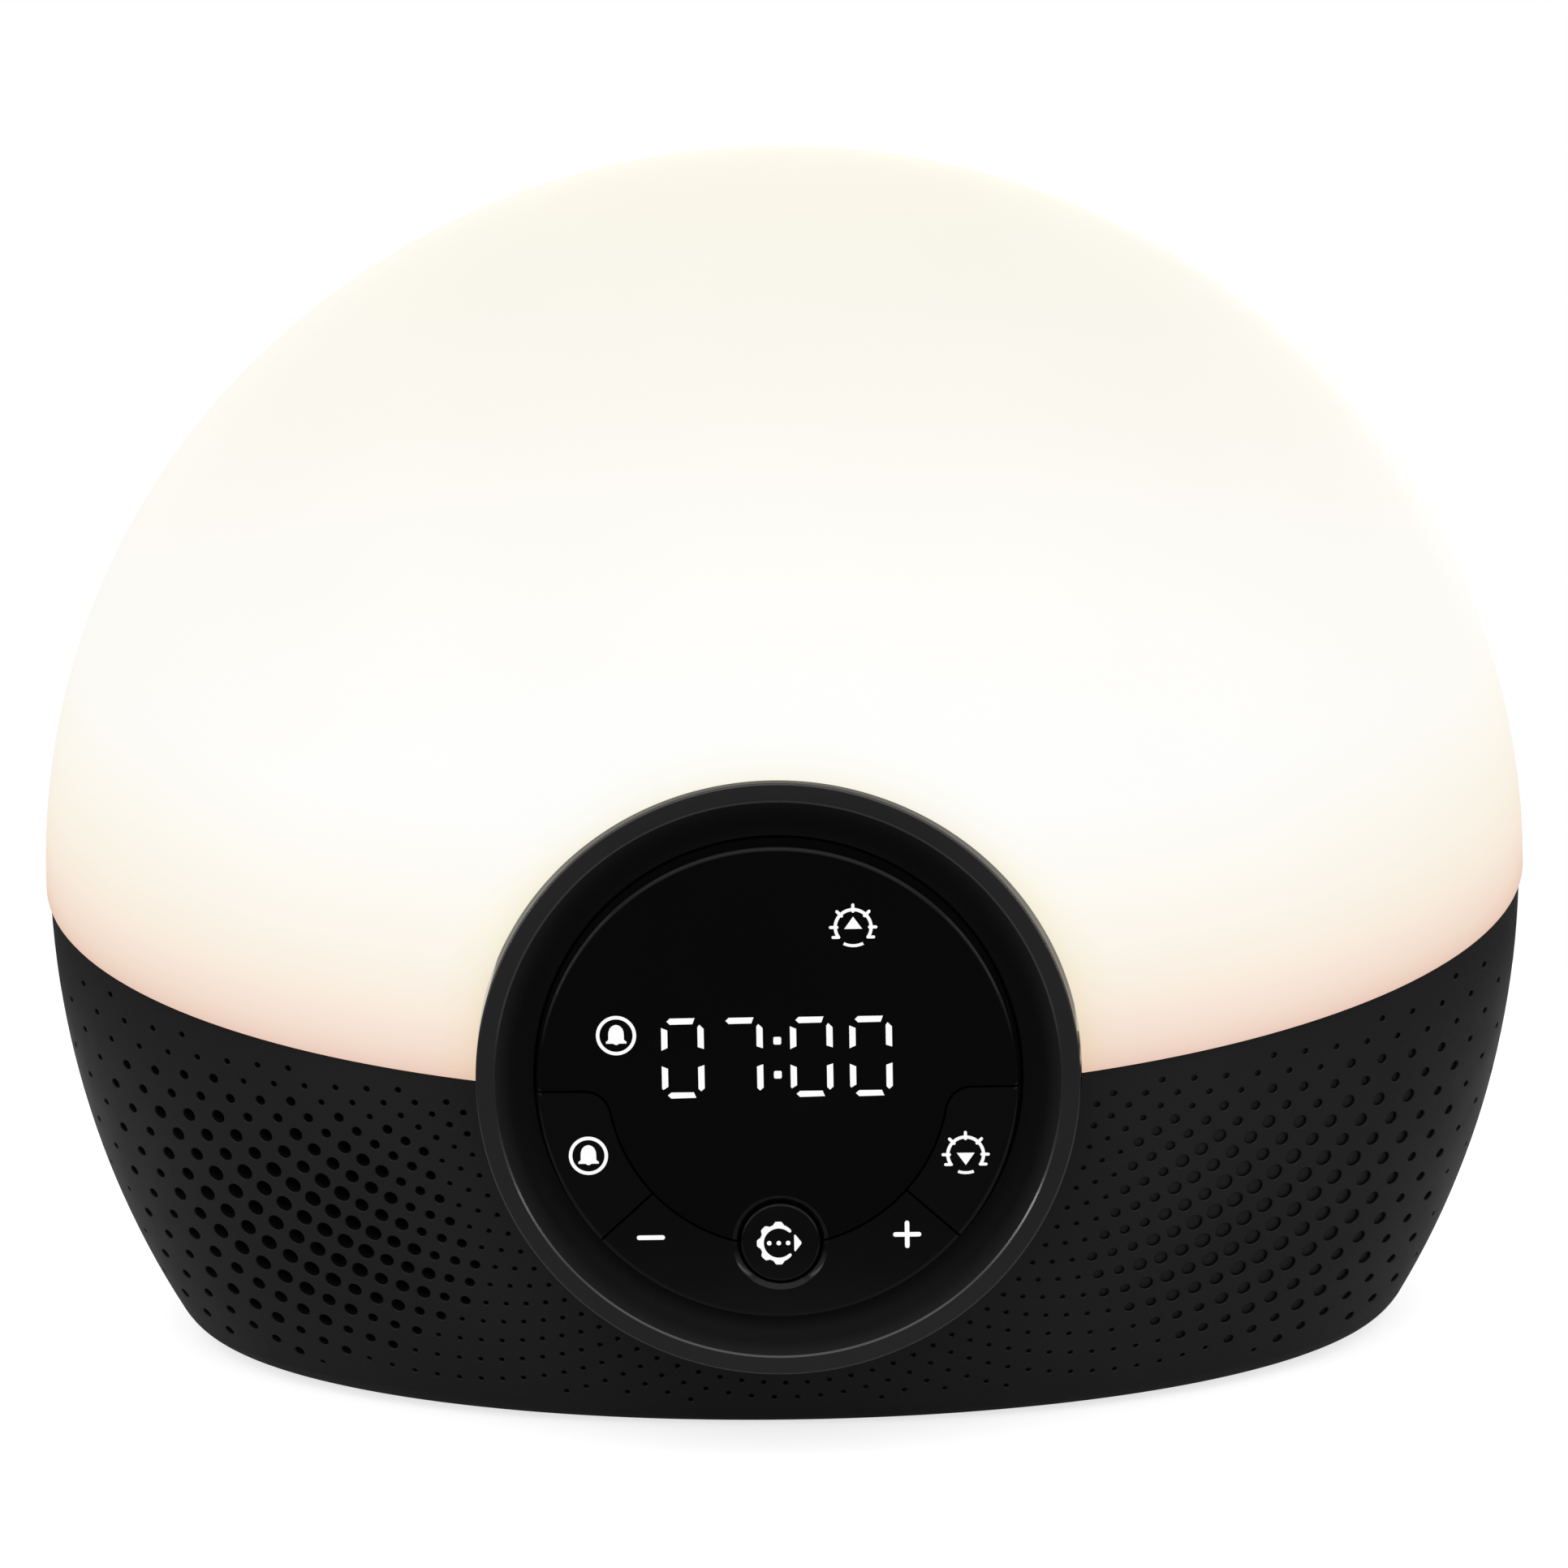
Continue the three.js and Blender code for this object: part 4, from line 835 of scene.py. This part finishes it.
def make_select_key():
    points = [(0, -STEM_END), (STEM_RADIUS, -STEM_END), (STEM_RADIUS, -KEY_BACK), (SELECT_RADIUS, -KEY_BACK)]
    points += arc((SELECT_RADIUS - SELECT_EDGE, FACE - SELECT_EDGE), SELECT_EDGE, 0, math.pi / 2, 6)
    points.append((0, FACE))
    place = Matrix.Translation((0, -SELECT_DROP, 0))
    key = solid("select_touch", lambda bm: turned(bm, points, SELECT_STEPS, place))
    finish_key(key, "select_key_body", "select_key")


# Lit marks, thin slabs let into the faces. Outlines are in millimetres about each mark's middle.
MARK_SINK, MARK_PROUD = 0.12, 0.02
DIGIT_SEGMENTS = {
    "top": [(-2.04, 4.83), (-1.62, 5.23), (1.57, 5.25), (1.27, 4.46), (-1.62, 4.42)],
    "upper_left": [(-2.76, 4.02), (-1.96, 3.68), (-1.96, 1.4), (-2.76, 1.04)],
    "upper_right": [(1.9, 4.05), (2.15, 4.38), (2.7, 3.84), (2.7, 1.2), (1.9, 1.46)],
    "lower_left": [(-2.76, -1.0), (-1.96, -1.34), (-1.96, -3.7), (-2.6, -4.1), (-2.76, -3.95)],
    "lower_right": [(2.7, -0.9), (2.7, -3.95), (2.25, -4.34), (1.9, -4.0), (1.9, -1.18)],
    "bottom": [(-2.04, -4.84), (-1.6, -4.46), (1.3, -4.46), (1.6, -5.18), (-1.6, -5.25)],
}
ZERO = tuple(DIGIT_SEGMENTS)
SEVEN = ("top", "upper_right", "lower_right")
DIGITS = ((-12.05, ZERO), (-4.5, SEVEN), (4.45, ZERO), (12.05, ZERO))
DISPLAY_CENTRE, LEVEL_MARK_DROP = 3.45, -20.07


def slab(outline, x=0.0, y=0.0):
    points = [(x + u, y + v) for u, v in outline]
    return lambda bm: prism(bm, points, FACE - MARK_SINK, FACE + MARK_PROUD)


def ring_slab(x, y, outer, inner, start=0.0, end=math.tau, steps=48):
    """A ring or, between two angles, a part of one."""
    if end - start >= math.tau:
        profile = [(inner, FACE - MARK_SINK), (outer, FACE - MARK_SINK), (outer, FACE + MARK_PROUD),
                   (inner, FACE + MARK_PROUD)]
        return lambda bm: turned(bm, profile, steps, Matrix.Translation((x, y, 0)))
    outline = arc((0, 0), outer, start, end, steps) + arc((0, 0), inner, end, start, steps)
    return slab(outline, x, y)


def square(side, x, y):
    """A square with round corners."""
    radius = side / 5
    reach = side / 2 - radius
    corners = []
    for i, (across, along) in enumerate(((1, 1), (-1, 1), (-1, -1), (1, -1))):
        turn = i * math.pi / 2
        corners += arc((across * reach, along * reach), radius, turn, turn + math.pi / 2, 3)
    return slab(corners, x, y)


def bar(x0, y0, x1, y1, width):
    """A stroke with round ends."""
    turn = math.atan2(y1 - y0, x1 - x0)
    points = arc((x1, y1), width / 2, turn - math.pi / 2, turn + math.pi / 2, 5)
    points += arc((x0, y0), width / 2, turn + math.pi / 2, turn + 3 * math.pi / 2, 5)
    return slab(points)


BELL_RING_WIDTH = 0.45
BELL_SIDE = (
    (0.0, 1.4), (0.3, 1.34), (0.58, 1.18), (0.82, 0.9), (0.96, 0.5), (1.0, 0.1), (1.0, -0.52),
    (1.1, -0.66), (1.33, -0.82), (1.31, -1.04), (0.36, -1.05), (0.14, -1.22),
)


def bell(x, y, size):
    """A bell in a ring of this radius."""
    outline = list(BELL_SIDE) + [(-u, v) for u, v in reversed(BELL_SIDE[1:])]
    return [slab(outline[::-1], x, y), ring_slab(x, y, size, size - BELL_RING_WIDTH)]


def sun(x, y, upward, foot_reach):
    """A sun over its horizon with an arrow inside."""
    outer, inner, ray_end, ray_width = 2.5, 2.08, 2.9, 0.4
    shapes = [ring_slab(x, y, outer, inner, math.radians(-34), math.radians(214), 44)]
    for angle in (0, 45, 90, 135, 180):
        c, s = math.cos(math.radians(angle)), math.sin(math.radians(angle))
        shapes.append(bar(x + inner * c, y + inner * s, x + ray_end * c, y + ray_end * s, ray_width))
    ground_start, ground_end, ground_drop, ground_width = 1.85, 2.6, 1.3, 0.38
    for side in (-1, 1):
        ends = (x + side * ground_start, y - ground_drop, x + side * ground_end, y - ground_drop)
        shapes.append(bar(*ends, ground_width))
    bow, bow_lift, bow_half_width = 2.85, 0.45, 0.19
    half, down = math.asin(foot_reach / bow), 1.5 * math.pi
    limits = (bow + bow_half_width, bow - bow_half_width, down - half, down + half)
    shapes.append(ring_slab(x, y + bow_lift, *limits, 16))
    arrow_half, arrow_foot, arrow_tip = 1.15, 0.22, 1.38
    way = 1 if upward else -1
    arrow = [(-arrow_half, -arrow_foot * way), (arrow_half, -arrow_foot * way), (0, arrow_tip * way)]
    shapes.append(slab(arrow, x, y))
    return shapes


def add_marks(name, shapes, body_name):
    marks = solid(name, *shapes)
    finish_piece(marks, dial_place, mark_white, body_name, "white_plastic")


def select_mark():
    """Three dots in an open cog, beside a pointer."""
    x, y = -0.22, -0.06 - SELECT_DROP
    inner, valley, knob, tip = 1.93, 2.44, 2.82, 2.34
    start, end, steps = 48, 312, 132
    knob_turn, knob_half, knob_slope, taper_turn = 45, 17, 9, 20
    first_knob, last_knob = 70, 290
    outer = []
    for i in range(steps + 1):
        angle = start + (end - start) * i / steps
        from_knob = abs((angle + knob_turn / 2) % knob_turn - knob_turn / 2)
        bulge = min(1.0, max(0.0, (knob_half - from_knob) / knob_slope))
        wave = bulge if first_knob < angle < last_knob else 0.0
        taper = min(1.0, min(angle - start, end - angle) / taper_turn)
        radius = tip + (valley - tip) * taper + (knob - valley) * wave
        outer.append((radius * math.cos(math.radians(angle)), radius * math.sin(math.radians(angle))))
    hollow = arc((0, 0), inner, math.radians(end), math.radians(start), 60)
    shapes = [slab(outer + hollow, x, y)]
    middle = (inner + tip) / 2
    for angle in (math.radians(start), math.radians(end)):
        at = (x + middle * math.cos(angle), y + middle * math.sin(angle))
        shapes.append(slab(arc((0, 0), (tip - inner) / 2, 0, math.tau, 16)[:-1], *at))
    shapes += [ring_slab(x + u, y, 0.3, 0.02, steps=16) for u in (-1.23, 0, 1.2)]
    pointer = [(1.98, -1.0), (2.12, -1.12), (2.9, -0.12), (2.9, 0.12), (2.12, 1.12), (1.98, 1.0)]
    shapes.append(slab(pointer, x, y))
    return shapes


def make_marks():
    digits = [slab(DIGIT_SEGMENTS[s], x, DISPLAY_CENTRE) for x, parts in DIGITS for s in parts]
    colon = [square(1.0, 0.05, DISPLAY_CENTRE + v) for v in (2.15, -2.3)]
    signs = bell(-20.58, 6.55, 2.58) + sun(10.0, 20.28, True, 1.25)
    add_marks("time_marks", digits + colon + signs, "housing")
    add_marks("alarm_mark", bell(-24.46, -9.17, 2.52), "alarm_key_body")
    add_marks("sunset_mark", sun(23.96, -9.64, False, 1.0), "sunset_key_body")
    minus, plus, stroke = -16.66, 16.3, 0.6
    half = 1.52
    level = [bar(x - half, LEVEL_MARK_DROP, x + half, LEVEL_MARK_DROP, stroke) for x in (minus, plus)]
    level.append(bar(plus, LEVEL_MARK_DROP - half, plus, LEVEL_MARK_DROP + half, stroke))
    add_marks("level_marks", level, "level_rocker_body")
    add_marks("select_mark", select_mark(), "select_key_body")


make_dome()
make_base()
make_bezel()
make_window()
make_keys()
make_select_key()
make_marks()


# Looks of the CAD pieces that stay.
def named(part):
    """The CAD pieces with this in their names."""
    return [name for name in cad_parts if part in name]


NODE_LOOKS = (
    (charcoal, ["base_cover", "key_frame", "housing_cover"]),
    (key_black, ["display_module"]),
    (rubber, named("foot_")),
    (reflector_white, ["reflector_tray", *named("_plunger")]),
    (board_green, ["main_board"]),
    (board_white, ["light_board"]),
    (aluminium, ["heat_spreader"]),
    (steel, ["speaker_basket", "speaker_magnet", "jack_nut", *named("_screw_")]),
    (phosphor, named("emitter_")),
    (foam, ["speaker_gasket"]),
    (paper, ["speaker_cone"]),
    (jacket, named("_lead")),
    (inlet, ["dc_jack", *named("_switch")]),
)
for material, names in NODE_LOOKS:
    for name in names:
        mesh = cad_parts[name].data
        mesh.materials.clear()
        mesh.materials.append(material)


# Camera. Its turns, and its lens and centre in pixels, were fitted to the outline in the photo.
CAMERA_TARGET = Vector((0, 3.115, 80.7))
CAMERA_DISTANCE = 1000.0
CAMERA_RISE, CAMERA_SIDE, CAMERA_ROLL = (math.radians(a) for a in (14.87, -1.22, -1.13))
FOCAL_PIXELS, IMAGE_SIDE = 9122.9, 1932
CENTRE_X, CENTRE_Y = 962.39, 917.96
SENSOR_WIDTH, CLIP_NEAR, CLIP_FAR = 36.0, 0.05, 50


def make_camera():
    data = bpy.data.cameras.new("camera")
    camera = bpy.data.objects.new("camera", data)
    bpy.context.scene.collection.objects.link(camera)
    back = Vector((
        -math.sin(CAMERA_SIDE) * math.cos(CAMERA_RISE),
        -math.cos(CAMERA_SIDE) * math.cos(CAMERA_RISE),
        math.sin(CAMERA_RISE),
    ))
    right = (-back).cross(Vector((0, 0, 1))).normalized()
    up = right.cross(-back)
    cos, sin = math.cos(CAMERA_ROLL), math.sin(CAMERA_ROLL)
    right_rolled = cos * right + sin * up
    up_rolled = -sin * right + cos * up
    turn = Matrix((right_rolled, up_rolled, back)).transposed().to_4x4()
    at = (CAMERA_TARGET + CAMERA_DISTANCE * back) * MILLIMETRE
    camera.matrix_world = Matrix.Translation(at) @ turn
    data.sensor_width = SENSOR_WIDTH
    data.lens = FOCAL_PIXELS / IMAGE_SIDE * data.sensor_width
    data.shift_x = (IMAGE_SIDE / 2 - CENTRE_X) / IMAGE_SIDE
    data.shift_y = (CENTRE_Y - IMAGE_SIDE / 2) / IMAGE_SIDE
    data.clip_start, data.clip_end = CLIP_NEAR, CLIP_FAR
    bpy.context.scene.camera = camera


make_camera()


# Floor, world and lamps. Lamp places and sizes are metres, and their powers watts.
FLOOR_RADIUS, FLOOR_STEPS, FLOOR_GLOW = 0.2, 96, 0.72
HORIZON_LOW, HORIZON_HIGH = -0.05, 0.15
FILL_BELOW, FILL_ABOVE = 0.37, 0.85
MIRRORED_BELOW, MIRRORED_ABOVE = 0.12, 1.0


def white_stage():
    """A white floor that keeps its shadow. Only the camera sees its glow, so it lights nothing."""
    material, nodes, links, shader = new_material("floor_white")
    shader.inputs["Roughness"].default_value = 0.9
    shader.inputs["Specular IOR Level"].default_value = 0.1
    paint = ramp(nodes, links, noise(nodes, links, 8.0), grey(0.52), grey(0.54))
    links.new(paint, shader.inputs["Base Color"])
    path = nodes.new("ShaderNodeLightPath")
    glow = nodes.new("ShaderNodeMath")
    glow.operation = "MULTIPLY"
    glow.inputs[1].default_value = FLOOR_GLOW
    links.new(path.outputs["Is Camera Ray"], glow.inputs[0])
    shader.inputs["Emission Color"].default_value = grey(1.0)
    links.new(glow.outputs[0], shader.inputs["Emission Strength"])
    return material


def make_floor():
    bm = bmesh.new()
    bmesh.ops.create_circle(bm, cap_ends=True, radius=FLOOR_RADIUS, segments=FLOOR_STEPS)
    floor = mesh_object("floor", bm, tidy=False)
    floor.data.materials.append(white_stage())


def make_world():
    """White behind the object, also in reflections above the horizon. It lights less from below."""
    world = bpy.data.worlds.new("studio")
    bpy.context.scene.world = world
    world.use_nodes = True
    nodes, links = world.node_tree.nodes, world.node_tree.links
    sky = nodes["Background"]
    sky.inputs["Color"].default_value = grey(1.0)
    split = nodes.new("ShaderNodeSeparateXYZ")
    links.new(nodes.new("ShaderNodeTexCoord").outputs["Generated"], split.inputs[0])
    path = nodes.new("ShaderNodeLightPath")
    mirrored = nodes.new("ShaderNodeMath")
    mirrored.operation = "MAXIMUM"
    links.new(path.outputs["Is Glossy Ray"], mirrored.inputs[0])
    links.new(path.outputs["Is Transmission Ray"], mirrored.inputs[1])

    def above_horizon(below, above):
        scale = nodes.new("ShaderNodeMapRange")
        scale.inputs["From Min"].default_value = HORIZON_LOW
        scale.inputs["From Max"].default_value = HORIZON_HIGH
        scale.inputs["To Min"].default_value, scale.inputs["To Max"].default_value = below, above
        links.new(split.outputs["Z"], scale.inputs["Value"])
        return scale.outputs["Result"]

    def chosen(factor, otherwise):
        mix = nodes.new("ShaderNodeMix")
        links.new(factor, mix.inputs["Factor"])
        links.new(otherwise, mix.inputs["A"])
        return mix

    lighting = chosen(mirrored.outputs[0], above_horizon(FILL_BELOW, FILL_ABOVE))
    links.new(above_horizon(MIRRORED_BELOW, MIRRORED_ABOVE), lighting.inputs["B"])
    seen = chosen(path.outputs["Is Camera Ray"], lighting.outputs["Result"])
    seen.inputs["B"].default_value = 1.0
    links.new(seen.outputs["Result"], sky.inputs["Strength"])


def lamp(name, at, aim, size, power):
    data = bpy.data.lights.new(name, "AREA")
    data.shape, data.size, data.size_y = "RECTANGLE", size[0], size[1]
    data.energy = power
    light = bpy.data.objects.new(name, data)
    light.location = at
    light.rotation_euler = (Vector(aim) - Vector(at)).to_track_quat("-Z", "Y").to_euler()
    bpy.context.scene.collection.objects.link(light)


make_floor()
make_world()
lamp("front_soft", (0.0, -1.1, 1.3), (0, 0, 0.08), (2.2, 1.3), 8)
lamp("left_strip", (-0.95, -0.8, 0.5), (0, 0, 0.06), (0.05, 0.5), 1.2)
lamp("right_strip", (0.95, -0.8, 0.5), (0, 0, 0.06), (0.05, 0.5), 1.2)
lamp("back_soft", (0.5, 1.2, 0.1), (0, 0, 0.04), (0.8, 0.16), 0.5)

view = bpy.context.scene.view_settings
view.view_transform = "Standard"
